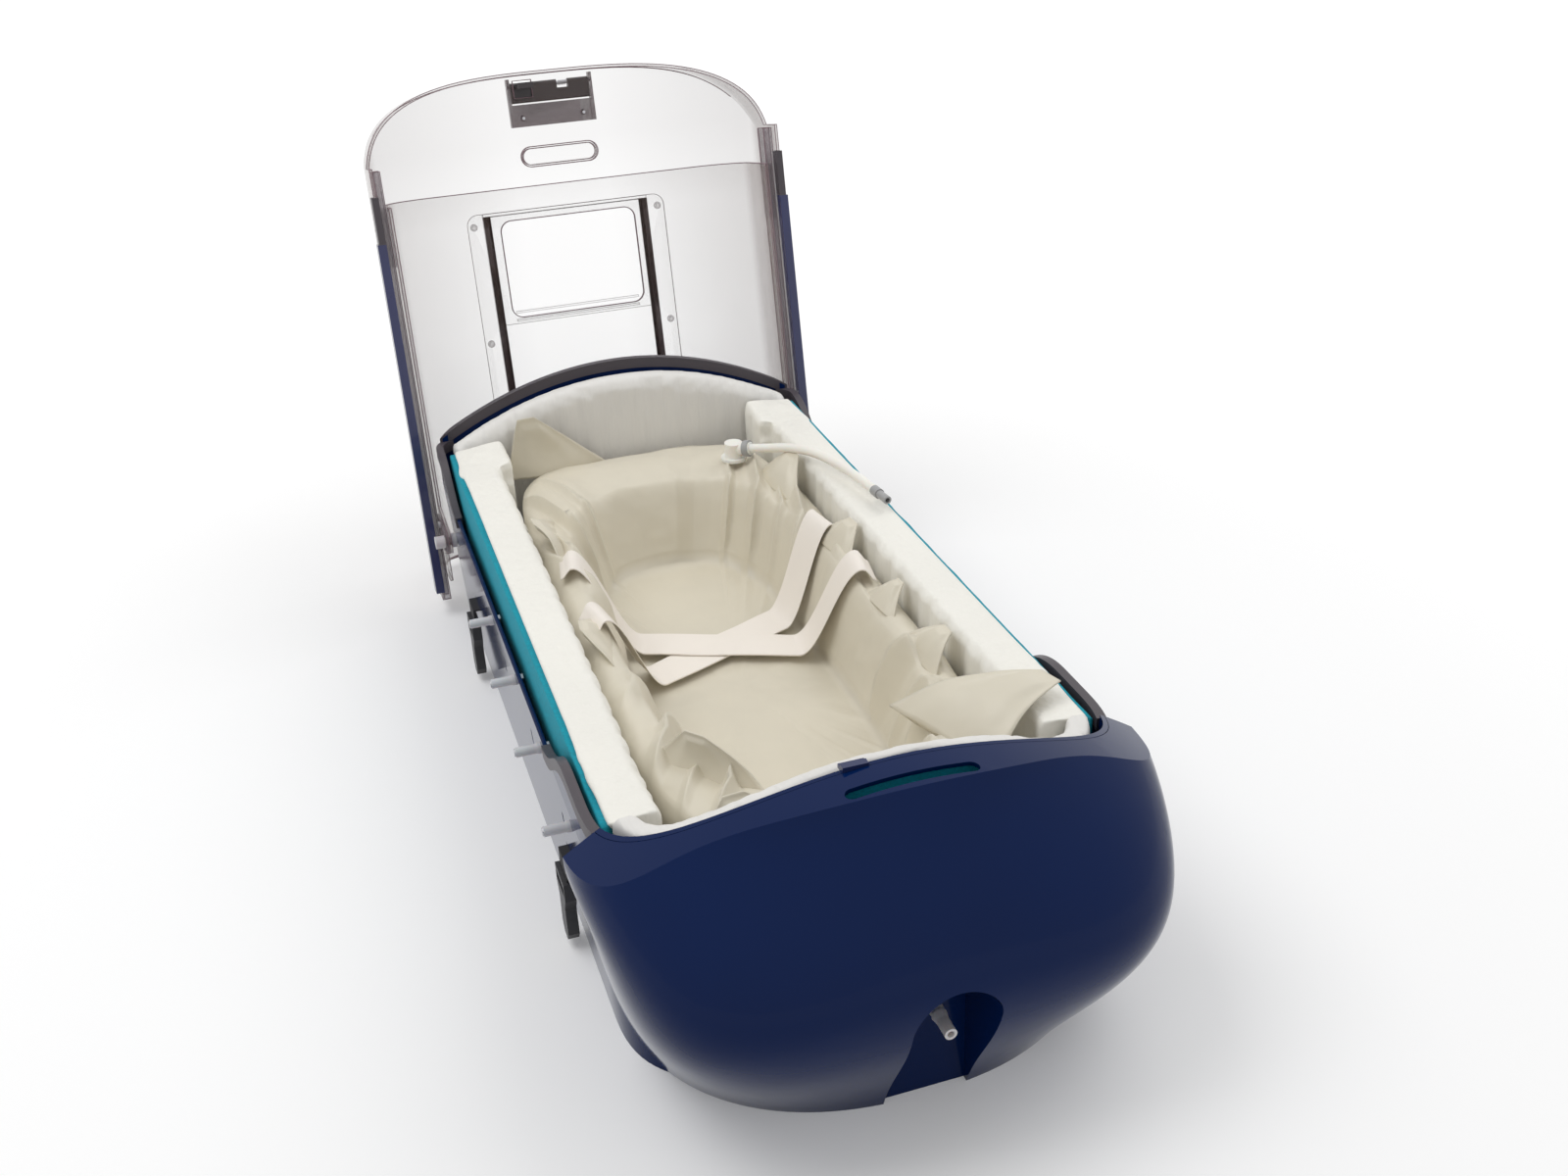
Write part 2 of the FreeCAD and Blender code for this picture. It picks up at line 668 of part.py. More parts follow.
def hinge_pin():
    """Shouldered pin through the right tub wall that the lid turns on."""
    wall_x = tub_half_width(HINGE_Z)
    inner_x = wall_x - TUB_WALL - 5
    shank = rod(HINGE_PIN_RADIUS, (inner_x, HINGE_Y, HINGE_Z), AXIS_X, wall_x + HINGE_PIN_LENGTH - inner_x)
    collar_end = REAR_HALF_WIDTH - LID_SHEET - 0.5
    collar_start = wall_x + HINGE_COLLAR_GAP
    collar = rod(HINGE_PIN_RADIUS + 3, (collar_start, HINGE_Y, HINGE_Z), AXIS_X, collar_end - collar_start)
    cap_start = REAR_HALF_WIDTH + BRACKET_THICKNESS + 0.6
    cap_end = wall_x + HINGE_PIN_LENGTH
    cap = rod(HINGE_PIN_RADIUS + 2, (cap_start, HINGE_Y, HINGE_Z), AXIS_X, cap_end - cap_start)
    return fused([shank, collar, cap])


def hinge_pins():
    return Part.makeCompound(both_sides(hinge_pin()))


def hinge_nut():
    inner_x = tub_half_width(HINGE_Z) - TUB_WALL - 0.4
    nut = hexagon(HINGE_PIN_RADIUS + 3.5, (inner_x - 4, HINGE_Y, HINGE_Z), AXIS_X, 4)
    return nut.cut(rod(HINGE_PIN_RADIUS, (inner_x - 9, HINGE_Y, HINGE_Z), AXIS_X, 12))


def hinge_nuts():
    return Part.makeCompound(both_sides(hinge_nut()))


def tie_down_web(y):
    """Webbing that comes out of the right slot, drops to its buckle and is anchored inside."""
    half = TIE_WIDTH / 2
    wall = tub_half_width(TIE_SLOT_Z)
    inner = wall - TUB_WALL - 3
    outer = wall + 7.0
    low = TIE_SLOT_Z - TIE_DROP
    level = box((inner, y - half, TIE_SLOT_Z - TIE_WEB / 2), (outer, y + half, TIE_SLOT_Z + TIE_WEB / 2))
    drop = box((outer - TIE_WEB, y - half, low), (outer, y + half, TIE_SLOT_Z + TIE_WEB / 2))
    anchor = box((inner, y - half, TIE_SLOT_Z - 9), (wall, y + half, TIE_SLOT_Z + 9))
    anchor = anchor.common(tub_body(-TUB_WALL, TUB_FLOOR, RIM_HEIGHT))
    return fused([level, drop, anchor])


def tie_down_webs():
    webs = [tie_down_web(y) for y in TIE_DOWN_Y]
    return Part.makeCompound(webs + [mirrored(web) for web in webs])


def tie_down_buckle(y):
    """Moulded buckle with a window for the webbing and a waisted body."""
    middle_x = tub_half_width(TIE_SLOT_Z) + 7.0 - TIE_WEB / 2
    half_t = BUCKLE_THICKNESS / 2
    top = TIE_SLOT_Z - TIE_DROP + 7
    low = top - BUCKLE_HEIGHT
    half = TIE_WIDTH / 2 + 3
    outline = [
        (y - half, top), (y + half, top), (y + half, top - 16), (y + half * 0.62, top - 27),
        (y + half * 0.70, low + 8), (y + half * 0.35, low), (y - half * 0.35, low),
        (y - half * 0.70, low + 8), (y - half * 0.62, top - 27), (y - half, top - 16),
    ]
    body = prism_x(outline, middle_x - half_t, middle_x + half_t)
    web_half = TIE_WIDTH / 2 + 0.4
    window_low = top - 13
    slot = box((0, y - web_half, window_low), (FAR, y + web_half, top - BUCKLE_BAR * 2))
    gap_half = TIE_WEB / 2 + 0.3
    clear = box((middle_x - gap_half, y - web_half, window_low), (middle_x + gap_half, y + web_half, top + 1))
    return body.cut([slot, clear])


def tie_down_buckles():
    buckles = [tie_down_buckle(y) for y in TIE_DOWN_Y]
    return Part.makeCompound(buckles + [mirrored(buckle) for buckle in buckles])


# Foam, padding and mattresses

def foam_liner():
    """Foam board inside the right wall, thinner low down where fittings come through."""
    section = [
        (LINER_INNER, TUB_FLOOR + SOFT_GAP), (LINER_RELIEF, TUB_FLOOR + SOFT_GAP),
        (LINER_RELIEF, LINER_RELIEF_TOP), (LINER_OUTER, LINER_RELIEF_TOP + 4),
        (LINER_OUTER, LINER_TOP), (LINER_INNER, LINER_TOP),
    ]
    return prism_y(section, *LINER_SPAN)


def foot_pad_face():
    """The foot pad's face towards the infant."""
    return FOOT_END - TUB_WALL - TRIM_THICKNESS - SOFT_GAP - FOOT_PAD_THICKNESS


def bolster():
    """Upholstered side bolster of the right side, with a wider block at its foot end."""
    outer = LINER_INNER - SOFT_GAP
    inner = outer - BOLSTER_WIDTH
    low = TUB_FLOOR + SOFT_GAP
    long_part = box((inner, BOLSTER_SPAN[0], low), (outer, BOLSTER_SPAN[1], BOLSTER_TOP))
    block_end = foot_pad_face() - SOFT_GAP
    block = box((outer - FOOT_BLOCK_WIDTH, BOLSTER_SPAN[1], low), (outer, block_end, BOLSTER_TOP))
    wing_low = LINER_TOP + SOFT_GAP
    wing = box((outer, BOLSTER_SPAN[1], wing_low), (outer + FOOT_BLOCK_OVERHANG, block_end, BOLSTER_TOP))
    whole = fused([long_part, block, wing])
    edges = [e for e in whole.Edges if is_long_top_edge(e)]
    return whole.makeFillet(BOLSTER_ROUND, edges)


def is_long_top_edge(edge):
    """True for an edge of the bolster's top that runs along the pod over its long part."""
    box_of = edge.BoundBox
    on_top = box_of.ZMin > BOLSTER_TOP - 0.1
    return on_top and box_of.YLength > (BOLSTER_SPAN[1] - BOLSTER_SPAN[0]) / 2


def foot_pad():
    """Padded board inside the foot arch."""
    inset = TUB_WALL + TRIM_THICKNESS + SOFT_GAP
    block = tub_body(-inset, TUB_FLOOR + SOFT_GAP, ARCH_HEIGHT + 5).common(below_vault(-PAD_BELOW_RIM))
    face = foot_pad_face()
    region = box((-FAR, face, 0), (FAR, FAR, FAR))
    return block.common(region)


def head_pad():
    """Padded crescent inside the round head end."""
    inset = TUB_WALL + TRIM_THICKNESS + SOFT_GAP
    region = box((-FAR, -FAR, TUB_FLOOR + SOFT_GAP), (FAR, BOLSTER_SPAN[0] - SOFT_GAP, FAR))
    keeper_room = box(
        (KEEPER_X - KEEPER_HALF - 2, -FAR, KEEPER_LIP_Z - 16),
        (KEEPER_X + KEEPER_HALF + 2, HEAD_END + 24, FAR),
    )
    outer = tub_body(-inset, TUB_FLOOR + SOFT_GAP, ARCH_HEIGHT + 5).common(below_vault(-PAD_BELOW_RIM))
    inner = tub_body(-inset - HEAD_PAD_THICKNESS, TUB_FLOOR - 1, ARCH_HEIGHT + 30)
    return outer.cut([inner, keeper_room]).common(region)


def base_mattress():
    """Firm mat on the tub's floor, under the vacuum mattress."""
    low = (-BASE_MATTRESS_HALF, BOLSTER_SPAN[0] + SOFT_GAP, TUB_FLOOR + SOFT_GAP)
    end = BOLSTER_SPAN[1] - SOFT_GAP
    return box(low, (BASE_MATTRESS_HALF, end, BASE_MATTRESS_TOP))


def rectangle_at(half, span, z):
    """A rectangle in plan at one height, as a closed wire."""
    corners = [(-half, span[0], z), (half, span[0], z), (half, span[1], z), (-half, span[1], z)]
    return Part.makePolygon([Vector(*c) for c in corners + corners[:1]])


def vacuum_mattress():
    """Mattress drawn up round a cocoon, with one corner flap that stands at the foot end."""
    low = BASE_MATTRESS_TOP + SOFT_GAP
    outer = box(
        (-MATTRESS_HALF_WIDTH, MATTRESS_SPAN[0], low),
        (MATTRESS_HALF_WIDTH, BOLSTER_SPAN[1] - SOFT_GAP, MATTRESS_TOP),
    )
    foot_inner = LINER_INNER - SOFT_GAP - FOOT_BLOCK_WIDTH - SOFT_GAP
    foot_end = box(
        (-foot_inner, BOLSTER_SPAN[1] - SOFT_GAP - 5, TUB_FLOOR + SOFT_GAP),
        (foot_inner, MATTRESS_SPAN[1], MATTRESS_TOP),
    )
    foot_end = foot_end.cut(base_mattress())
    floor_span = (COCOON_SPAN[0] + COCOON_END_SLOPE, COCOON_SPAN[1] - COCOON_END_SLOPE)
    cocoon = Part.makeLoft([
        rectangle_at(COCOON_FLOOR_HALF, floor_span, COCOON_FLOOR),
        rectangle_at(COCOON_TOP_HALF, COCOON_SPAN, MATTRESS_TOP),
    ], True, True)
    tip_x, tip_y = FLAP_TIP
    flap_low = MATTRESS_TOP - 1
    feet = [(tip_x + reach, flap_low) for reach in FLAP_FEET]
    flap_outline = [feet[0], (tip_x, FLAP_TOP), feet[1]]
    half = FLAP_THICKNESS / 2
    flap = prism_y(flap_outline, tip_y - half, tip_y + half)
    return fused([outer, foot_end, flap]).cut(cocoon)


# Valve, hose and connector

def direction(start, end):
    """Unit vector from one point to another."""
    return (Vector(*end) - Vector(*start)).normalize()


def mattress_valve():
    """Valve welded to the mattress, with a side spout that the hose pushes into."""
    x, y = VALVE_BASE
    exit_point = Vector(*HOSE_POINTS[0])
    axis = direction(HOSE_POINTS[0], HOSE_POINTS[1])
    flange = rod(VALVE_RADIUS, (x, y, MATTRESS_TOP + SOFT_GAP), AXIS_Z, 3)
    body = rod(VALVE_RADIUS - 4, (x, y, MATTRESS_TOP + SOFT_GAP), AXIS_Z, exit_point.z - MATTRESS_TOP + 3)
    spout = rod(SPOUT_RADIUS, tuple(exit_point - axis * SPOUT_LENGTH), axis, SPOUT_LENGTH)
    return fused([flange, body, spout])


def valve_collar():
    """Grey ring on the valve's spout."""
    exit_point = Vector(*HOSE_POINTS[0])
    axis = direction(HOSE_POINTS[0], HOSE_POINTS[1])
    start = exit_point - axis * 7
    ring = rod(SPOUT_RADIUS + 1.8, tuple(start), axis, 6)
    return ring.cut(rod(SPOUT_RADIUS, tuple(start - axis), axis, 8))


def cord_wire(points):
    """Straight runs joined by tangent arcs, each as large as its two runs allow."""
    nodes = [Vector(*p) for p in points]
    edges = []
    last = nodes[0]
    for before, here, after in zip(nodes, nodes[1:], nodes[2:]):
        incoming = (here - before).normalize()
        outgoing = (after - here).normalize()
        half_turn = incoming.getAngle(outgoing) / 2
        setback = 0.45 * min((here - before).Length, (after - here).Length)
        radius = setback / math.tan(half_turn)
        print("hose radius", round(radius, 1))
        start = here - incoming * setback
        end = here + outgoing * setback
        bisector = (outgoing - incoming).normalize()
        middle = here + bisector * (radius / math.cos(half_turn) - radius)
        edges.append(Part.LineSegment(last, start).toShape())
        edges.append(Part.Arc(start, middle, end).toShape())
        last = end
    edges.append(Part.LineSegment(last, nodes[-1]).toShape())
    return Part.Wire(edges)


def vacuum_hose():
    """Short free hose from the valve, laid over the right bolster."""
    path = cord_wire(HOSE_POINTS)
    axis = direction(HOSE_POINTS[0], HOSE_POINTS[1])
    circle = Part.Wire(Part.Circle(Vector(*HOSE_POINTS[0]), axis, HOSE_DIAMETER / 2).toShape())
    hose = path.makePipeShell([circle], True, False)
    expected = math.pi * (HOSE_DIAMETER / 2) ** 2 * path.Length
    print("hose length", round(path.Length, 1), "volume ratio", round(hose.Volume / expected, 4))
    return hose


def hose_connector():
    """Stepped connector on the hose's free end."""
    end = Vector(*HOSE_POINTS[-1])
    axis = direction(HOSE_POINTS[-2], HOSE_POINTS[-1])
    neck = rod(CONNECTOR_RADIUS, tuple(end), axis, CONNECTOR_LENGTH * 0.4)
    nose = rod(CONNECTOR_RADIUS - 1, tuple(end), axis, CONNECTOR_LENGTH)
    bore = rod(CONNECTOR_RADIUS - 2.6, tuple(end + axis * 8), axis, CONNECTOR_LENGTH)
    return fused([neck, nose]).cut(bore)


# Harness

def harness_strap(skew, lift):
    """Flat strap that runs over the mattress edge, down into the cocoon, across and out again."""
    stations = [
        (-STRAP_END, MATTRESS_TOP), (-COCOON_TOP_HALF + 0.5, MATTRESS_TOP),
        (-COCOON_FLOOR_HALF + 1, COCOON_FLOOR), (COCOON_FLOOR_HALF - 1, COCOON_FLOOR),
        (COCOON_TOP_HALF - 0.5, MATTRESS_TOP), (STRAP_END, MATTRESS_TOP),
    ]
    sections = []
    half = STRAP_WIDTH / 2
    for x, z in stations:
        y = STRAP_CROSSING_Y + skew * x
        low = z + SOFT_GAP + lift
        high = low + STRAP_THICKNESS
        corners = [(x, y - half, low), (x, y + half, low), (x, y + half, high), (x, y - half, high)]
        sections.append(Part.makePolygon([Vector(*c) for c in corners + corners[:1]]))
    return Part.makeLoft(sections, True, True)


# Lid: modelled closed with its hinge at the origin, then opened

def lid_placed(shape):
    """Turns a lid piece open about the hinge and moves it to the pod."""
    moved = shape.copy()
    moved.rotate(Vector(0, 0, 0), AXIS_X, -LID_OPEN)
    moved.translate(HINGE)
    return moved


def lid_box(x_span, u_span, n_span):
    """A block in the lid: across, along from the hinge, and out from the hinge."""
    return box((x_span[0], -u_span[1], n_span[0]), (x_span[1], -u_span[0], n_span[1]))


def lid_solid(half, top, corner, bottom, u_span):
    """Solid arch section of the lid: upright sides, a flat top and round corners."""
    y = -u_span[0]
    slant = corner * (1 - math.sqrt(0.5))
    points = {
        "low_left": Vector(-half, y, bottom), "left": Vector(-half, y, top - corner),
        "left_mid": Vector(-half + slant, y, top - slant), "top_left": Vector(-half + corner, y, top),
        "top_right": Vector(half - corner, y, top), "right_mid": Vector(half - slant, y, top - slant),
        "right": Vector(half, y, top - corner), "low_right": Vector(half, y, bottom),
    }
    edges = [
        Part.LineSegment(points["low_left"], points["left"]).toShape(),
        Part.Arc(points["left"], points["left_mid"], points["top_left"]).toShape(),
        Part.LineSegment(points["top_left"], points["top_right"]).toShape(),
        Part.Arc(points["top_right"], points["right_mid"], points["right"]).toShape(),
        Part.LineSegment(points["right"], points["low_right"]).toShape(),
        Part.LineSegment(points["low_right"], points["low_left"]).toShape(),
    ]
    return Part.Face(Part.Wire(edges)).extrude(Vector(0, u_span[0] - u_span[1], 0))


def hinge_bore(x_span):
    """Running bore about the hinge axis on the right side."""
    return rod(HINGE_PIN_RADIUS + HINGE_RUN, (x_span[0], 0, 0), AXIS_X, x_span[1] - x_span[0])


def bracket_screw_places():
    """Places of the bracket screws, as distances along and out from the hinge."""
    return [(-9.0, 40.0), (9.0, 40.0)]


def rear_lid_shell():
    """Clear rear section: an arched sheet whose two ears reach down to the hinge pins."""
    span = (REAR_FOOT, REAR_HEAD)
    outer = lid_solid(REAR_HALF_WIDTH, REAR_TOP, REAR_CORNER, REAR_SKIRT, span)
    past = (REAR_FOOT - 5, REAR_HEAD + 5)
    inner_corner = REAR_CORNER - LID_SHEET
    inner = lid_solid(REAR_HALF_WIDTH - LID_SHEET, REAR_TOP - LID_SHEET, inner_corner, REAR_SKIRT - 5, past)
    x_span = (REAR_HALF_WIDTH - LID_SHEET, REAR_HALF_WIDTH)
    outline = [
        (EAR_HALF_WIDTH, REAR_SKIRT + 1), (-EAR_HALF_WIDTH, REAR_SKIRT + 1),
        (-EAR_RADIUS, 0), (EAR_RADIUS, 0),
    ]
    plate = prism_x(outline, *x_span)
    eye = rod(EAR_RADIUS, (x_span[0], 0, 0), AXIS_X, LID_SHEET)
    ear = fused([plate, eye]).cut([hinge_bore((x_span[0] - 1, x_span[1] + 1))] + bracket_screw_holes())
    ears = both_sides(ear)
    return fused([outer.cut(inner)] + ears)


def bracket_screw_holes():
    holes = []
    for u, n in bracket_screw_places():
        holes.append(rod(2.0, (REAR_HALF_WIDTH - 10, -u, n), AXIS_X, 20))
    return holes


def hinge_bracket():
    """Smoky plate that stiffens the right ear round the hinge pin."""
    x_span = (REAR_HALF_WIDTH, REAR_HALF_WIDTH + BRACKET_THICKNESS)
    half = EAR_HALF_WIDTH - 9
    foot = EAR_RADIUS - 1
    outline = [(half, BRACKET_TOP), (-half, BRACKET_TOP), (-half, 30), (-foot, 0), (foot, 0), (half, 30)]
    plate = prism_x(outline, *x_span)
    eye = rod(EAR_RADIUS - 1, (x_span[0], 0, 0), AXIS_X, BRACKET_THICKNESS)
    return fused([plate, eye]).cut([hinge_bore((x_span[0] - 1, x_span[1] + 1))] + bracket_screw_holes())


def bracket_screws():
    screws = []
    outer = REAR_HALF_WIDTH + BRACKET_THICKNESS
    for u, n in bracket_screw_places():
        shank = rod(2.0, (REAR_HALF_WIDTH - LID_SHEET, -u, n), AXIS_X, outer - REAR_HALF_WIDTH + LID_SHEET)
        head = rod(3.6, (outer, -u, n), AXIS_X, 1.2)
        screws.append(fused([shank, head]))
    return Part.makeCompound(screws + [mirrored(screw) for screw in screws])


def front_half_width():
    """Outer half width of the front section, which passes over the rear one."""
    return REAR_HALF_WIDTH + LID_GAP_SIDE + LID_SHEET


def front_top():
    """Outer top of the front section above the hinge."""
    return REAR_TOP + LID_GAP_TOP + LID_SHEET


def slider_block():
    """Block on the right rear skirt that the front section's rail slides over."""
    play = RAIL_WEB + SLIDER_CLEARANCE
    x_span = (REAR_HALF_WIDTH, front_half_width() - LID_SHEET - play)
    block = lid_box(x_span, SLIDER_SPAN, (RAIL_N[0] + play, RAIL_N[1] - play))
    edges = [e for e in block.Edges if e.BoundBox.XLength > 1]
    return block.makeFillet(3.0, edges)


def rail():
    """Channel on the inside of the right front skirt, open towards the slider block."""
    outer_x = front_half_width() - LID_SHEET
    whole = lid_box((outer_x - RAIL_REACH, outer_x), RAIL_SPAN, RAIL_N)
    groove_span = (RAIL_SPAN[0] - 1, RAIL_SPAN[1] + 1)
    groove_n = (RAIL_N[0] + RAIL_WEB, RAIL_N[1] - RAIL_WEB)
    groove = lid_box((outer_x - RAIL_REACH - 1, outer_x - RAIL_WEB), groove_span, groove_n)
    return whole.cut(groove)


def edge_channel(u_span, outward):
    """Channel that caps the lower edge of the right front skirt."""
    skin = front_half_width()
    inner_skin = skin - LID_SHEET
    low = FRONT_SKIRT - EDGE_STRIP_WALL
    inner = lid_box((inner_skin - EDGE_STRIP_WALL, inner_skin), u_span, (low, EDGE_STRIP_INNER_TOP))
    web = lid_box((inner_skin - EDGE_STRIP_WALL, skin + outward), u_span, (low, FRONT_SKIRT))
    outer = lid_box((skin, skin + outward), u_span, (low, EDGE_STRIP_TOP))
    return fused([inner, web, outer])


def bowed_plan(inset, high):
    """Everything foot-wards of the front section's bowed head edge."""
    half = front_half_width() + FRONT_BOW_FLARE - inset
    reach = half + 100
    start = -FRONT_BOW_START
    curve = rounded_end(half, start, FRONT_BOW_DEPTH - inset, HEAD_POWER, -60)
    path = Part.makePolygon([
        Vector(-half, start, -60), Vector(-reach, start, -60), Vector(-reach, FAR, -60),
        Vector(reach, FAR, -60), Vector(reach, start, -60), Vector(half, start, -60),
    ])
    return Part.Face(Part.Wire([curve] + path.Edges)).extrude(Vector(0, 0, high + 60))


def front_lid_shell():
    """Clear front section: arched sheet with a bowed head wall, a hatch opening and a finger recess."""
    top = front_top()
    half = front_half_width()
    span = (FRONT_FOOT, FRONT_BOW_START + FRONT_BOW_DEPTH + 20)
    past = (FRONT_FOOT - 5, span[1])
    outer = lid_solid(half, top, FRONT_CORNER, FRONT_SKIRT, span).common(bowed_plan(0, top + 30))
    outer = outer.makeFillet(HEAD_EDGE_ROUND, [e for e in outer.Edges if is_head_edge(e)])
    inner_corner = FRONT_CORNER - LID_SHEET
    inner = lid_solid(half - LID_SHEET, top - LID_SHEET, inner_corner, FRONT_SKIRT - 5, past)
    inner = inner.common(bowed_plan(LID_SHEET, top + 20))
    lip = below_vault(LIP_GAP)
    lip.translate(Vector(0, 0, -HINGE_Z))
    beyond_step = lid_box((-FAR, FAR), (FRONT_STEP, FAR), (-FAR, FAR))
    window = hatch_window(top - 20, top + 20)
    return recessed(outer.cut([inner, lip.common(beyond_step), window] + front_holes()))


def is_head_edge(edge):
    """True for the edge between the front section's flat top and its head wall."""
    on_top = edge.BoundBox.ZMin > front_top() - 0.1
    return on_top and edge.BoundBox.YMax < -FRONT_BOW_START and edge.BoundBox.XLength > 100


def hatch_window(low, high):
    """Rounded opening of the hatch."""
    block = lid_box((-HATCH_HALF_WIDTH, HATCH_HALF_WIDTH), HATCH_OPENING, (low, high))
    edges = [e for e in block.Edges if e.BoundBox.ZLength > 1]
    return block.makeFillet(HATCH_CORNER, edges)


def front_holes():
    """Screw holes and the latch blade's slot in the front section."""
    top = front_top()
    holes = []
    for u in HATCH_SCREW_U:
        holes += both_sides(rod(2.0, (HATCH_SCREW_X, -u, top - 10), AXIS_Z, 20))
    holes += both_sides(rod(LATCH_SCREW, (LATCH_SCREW_X, -latch_screw_u(), top - 10), AXIS_Z, 20))
    x_span = (KEEPER_X - LATCH_BLADE_HALF - 2, KEEPER_X + LATCH_BLADE_HALF + 2)
    holes.append(lid_box(x_span, (LATCH_PIVOT_U - 12, LATCH_PIVOT_U + 6), (top - 10, top + 10)))
    return holes


def recessed(shell):
    """Adds the finger recess behind the latch."""
    top = front_top()
    width = RECESS_SPAN[1] - RECESS_SPAN[0]
    y = -(RECESS_SPAN[0] + RECESS_SPAN[1]) / 2
    floor = top - LID_SHEET - RECESS_DEPTH
    cup = rounded_bar(RECESS_HALF + RECESS_WALL, width + 2 * RECESS_WALL, floor, top, y)
    dish = rounded_bar(RECESS_HALF, width, floor + RECESS_WALL, top + 5, y)
    return fused([shell, cup]).cut(dish)


# Hatch

def hatch_frame():
    """Clear doubler plate round the hatch opening, with a stop bar at each end of the guides."""
    top = front_top()
    high = top + HATCH_FRAME_THICKNESS
    plate = lid_box((-HATCH_FRAME_HALF, HATCH_FRAME_HALF), HATCH_FRAME_SPAN, (top, high))
    corners = [e for e in plate.Edges if e.BoundBox.ZLength > 1]
    plate = plate.makeFillet(HATCH_CORNER, corners)
    bar_half = HATCH_PANEL_HALF + HATCH_CLEARANCE + GUIDE_WEB
    head_stop = (GUIDE_SPAN[1], GUIDE_SPAN[1] + STOP_WIDTH)
    foot_stop = (GUIDE_SPAN[0] - STOP_WIDTH, GUIDE_SPAN[0])
    stop_n = (high, high + STOP_HEIGHT)
    bars = [lid_box((-bar_half, bar_half), span, stop_n) for span in (head_stop, foot_stop)]
    holes = []
    for u in HATCH_SCREW_U:
        holes += both_sides(rod(2.0, (HATCH_SCREW_X, -u, top - 10), AXIS_Z, 20))
    return fused([plate] + bars).cut([hatch_window(top - 20, top + 20)] + holes)


def hatch_guide():
    """Dark strip beside the hatch with a lip over the panel's edge."""
    base = front_top() + HATCH_FRAME_THICKNESS
    inner_x = HATCH_PANEL_HALF + HATCH_CLEARANCE
    web = lid_box((inner_x, inner_x + GUIDE_WEB), GUIDE_SPAN, (base, base + GUIDE_HEIGHT))
    lip_low = base + HATCH_PANEL_THICKNESS + 2 * HATCH_CLEARANCE
    lip = lid_box((inner_x - GUIDE_LIP, inner_x + GUIDE_WEB), GUIDE_SPAN, (lip_low, base + GUIDE_HEIGHT))
    return fused([web, lip])


def hatch_screws():
    """Nylon screws with low round heads that hold the doubler plate."""
    base = front_top() + HATCH_FRAME_THICKNESS
    low = front_top() - LID_SHEET
    screws = []
    for u in HATCH_SCREW_U:
        shank = rod(2.0, (HATCH_SCREW_X, -u, low), AXIS_Z, base - low)
        head = rod(HATCH_SCREW_RADIUS, (HATCH_SCREW_X, -u, base), AXIS_Z, 1.6)
        screws += both_sides(fused([shank, head]))
    return Part.makeCompound(screws)


def hatch_panel():
    """Clear sliding panel with two finger ribs at its foot end."""
    low = front_top() + HATCH_FRAME_THICKNESS + HATCH_CLEARANCE
    high = low + HATCH_PANEL_THICKNESS
    sheet = lid_box((-HATCH_PANEL_HALF, HATCH_PANEL_HALF), HATCH_PANEL_SPAN, (low, high))
    ribs = []
    for index in range(2):
        start = HATCH_PANEL_SPAN[0] + 2 + RIB_PITCH * index
        span = (start, start + RIB_WIDTH)
        ribs.append(lid_box((-RIB_HALF, RIB_HALF), span, (high, high + RIB_HEIGHT)))
    return fused([sheet] + ribs)


# Latch

def latch_screw_u():
    return LATCH_BASE_END - LATCH_BASE_LENGTH + 9


def latch_pivot():
    """Centre of the latch pin, as (y, z) beside the hinge."""
    return -LATCH_PIVOT_U, front_top() + LATCH_PIVOT_RISE


def latch_base():
    """Smoky plate screwed to the lid, with a cheek on each side for the latch pin."""
    top = front_top()
    outer = LATCH_HALF + LATCH_SIDE_GAP + LATCH_CHEEK
    start = LATCH_BASE_END - LATCH_BASE_LENGTH
    plate = lid_box((-outer, outer), (start, LATCH_BASE_END), (top, top + LATCH_BASE_THICKNESS))
    cheek_x = (LATCH_HALF + LATCH_SIDE_GAP, outer)
    cheek = lid_box(cheek_x, (start, LATCH_CHEEK_END), (top, top + LATCH_CHEEK_HEIGHT))
    y, z = latch_pivot()
    pin_hole = rod(LATCH_PIN_RADIUS, (-outer - 1, y, z), AXIS_X, 2 * outer + 2)
    holes = both_sides(rod(LATCH_SCREW, (LATCH_SCREW_X, -latch_screw_u(), top - 1), AXIS_Z, 20))
    return fused([plate] + both_sides(cheek)).cut([pin_hole] + holes)


def latch_screws():
    top = front_top()
    low = top - LID_SHEET
    shank = rod(LATCH_SCREW, (LATCH_SCREW_X, -latch_screw_u(), low), AXIS_Z, LID_SHEET + LATCH_BASE_THICKNESS)
    head = rod(3.0, (LATCH_SCREW_X, -latch_screw_u(), top + LATCH_BASE_THICKNESS), AXIS_Z, 1.4)
    return Part.makeCompound(both_sides(fused([shank, head])))


def latch_pin():
    outer = LATCH_HALF + LATCH_SIDE_GAP + LATCH_CHEEK
    y, z = latch_pivot()
    return rod(LATCH_PIN_RADIUS, (-outer, y, z), AXIS_X, 2 * outer)


def latch_nose_top():
    """Top of the latch's nose above the hinge when the closed lid is latched."""
    return KEEPER_LIP_Z - LATCH_NOSE_GAP - HINGE_Z


def latch_blade_face():
    """Head side of the latch's blade, from the keeper's lip when the lid is closed."""
    lip_edge = HEAD_END + TUB_WALL + KEEPER_SHEET + KEEPER_LIP
    return HINGE_Y - SLIDE_TRAVEL - lip_edge - LATCH_NOSE_GAP


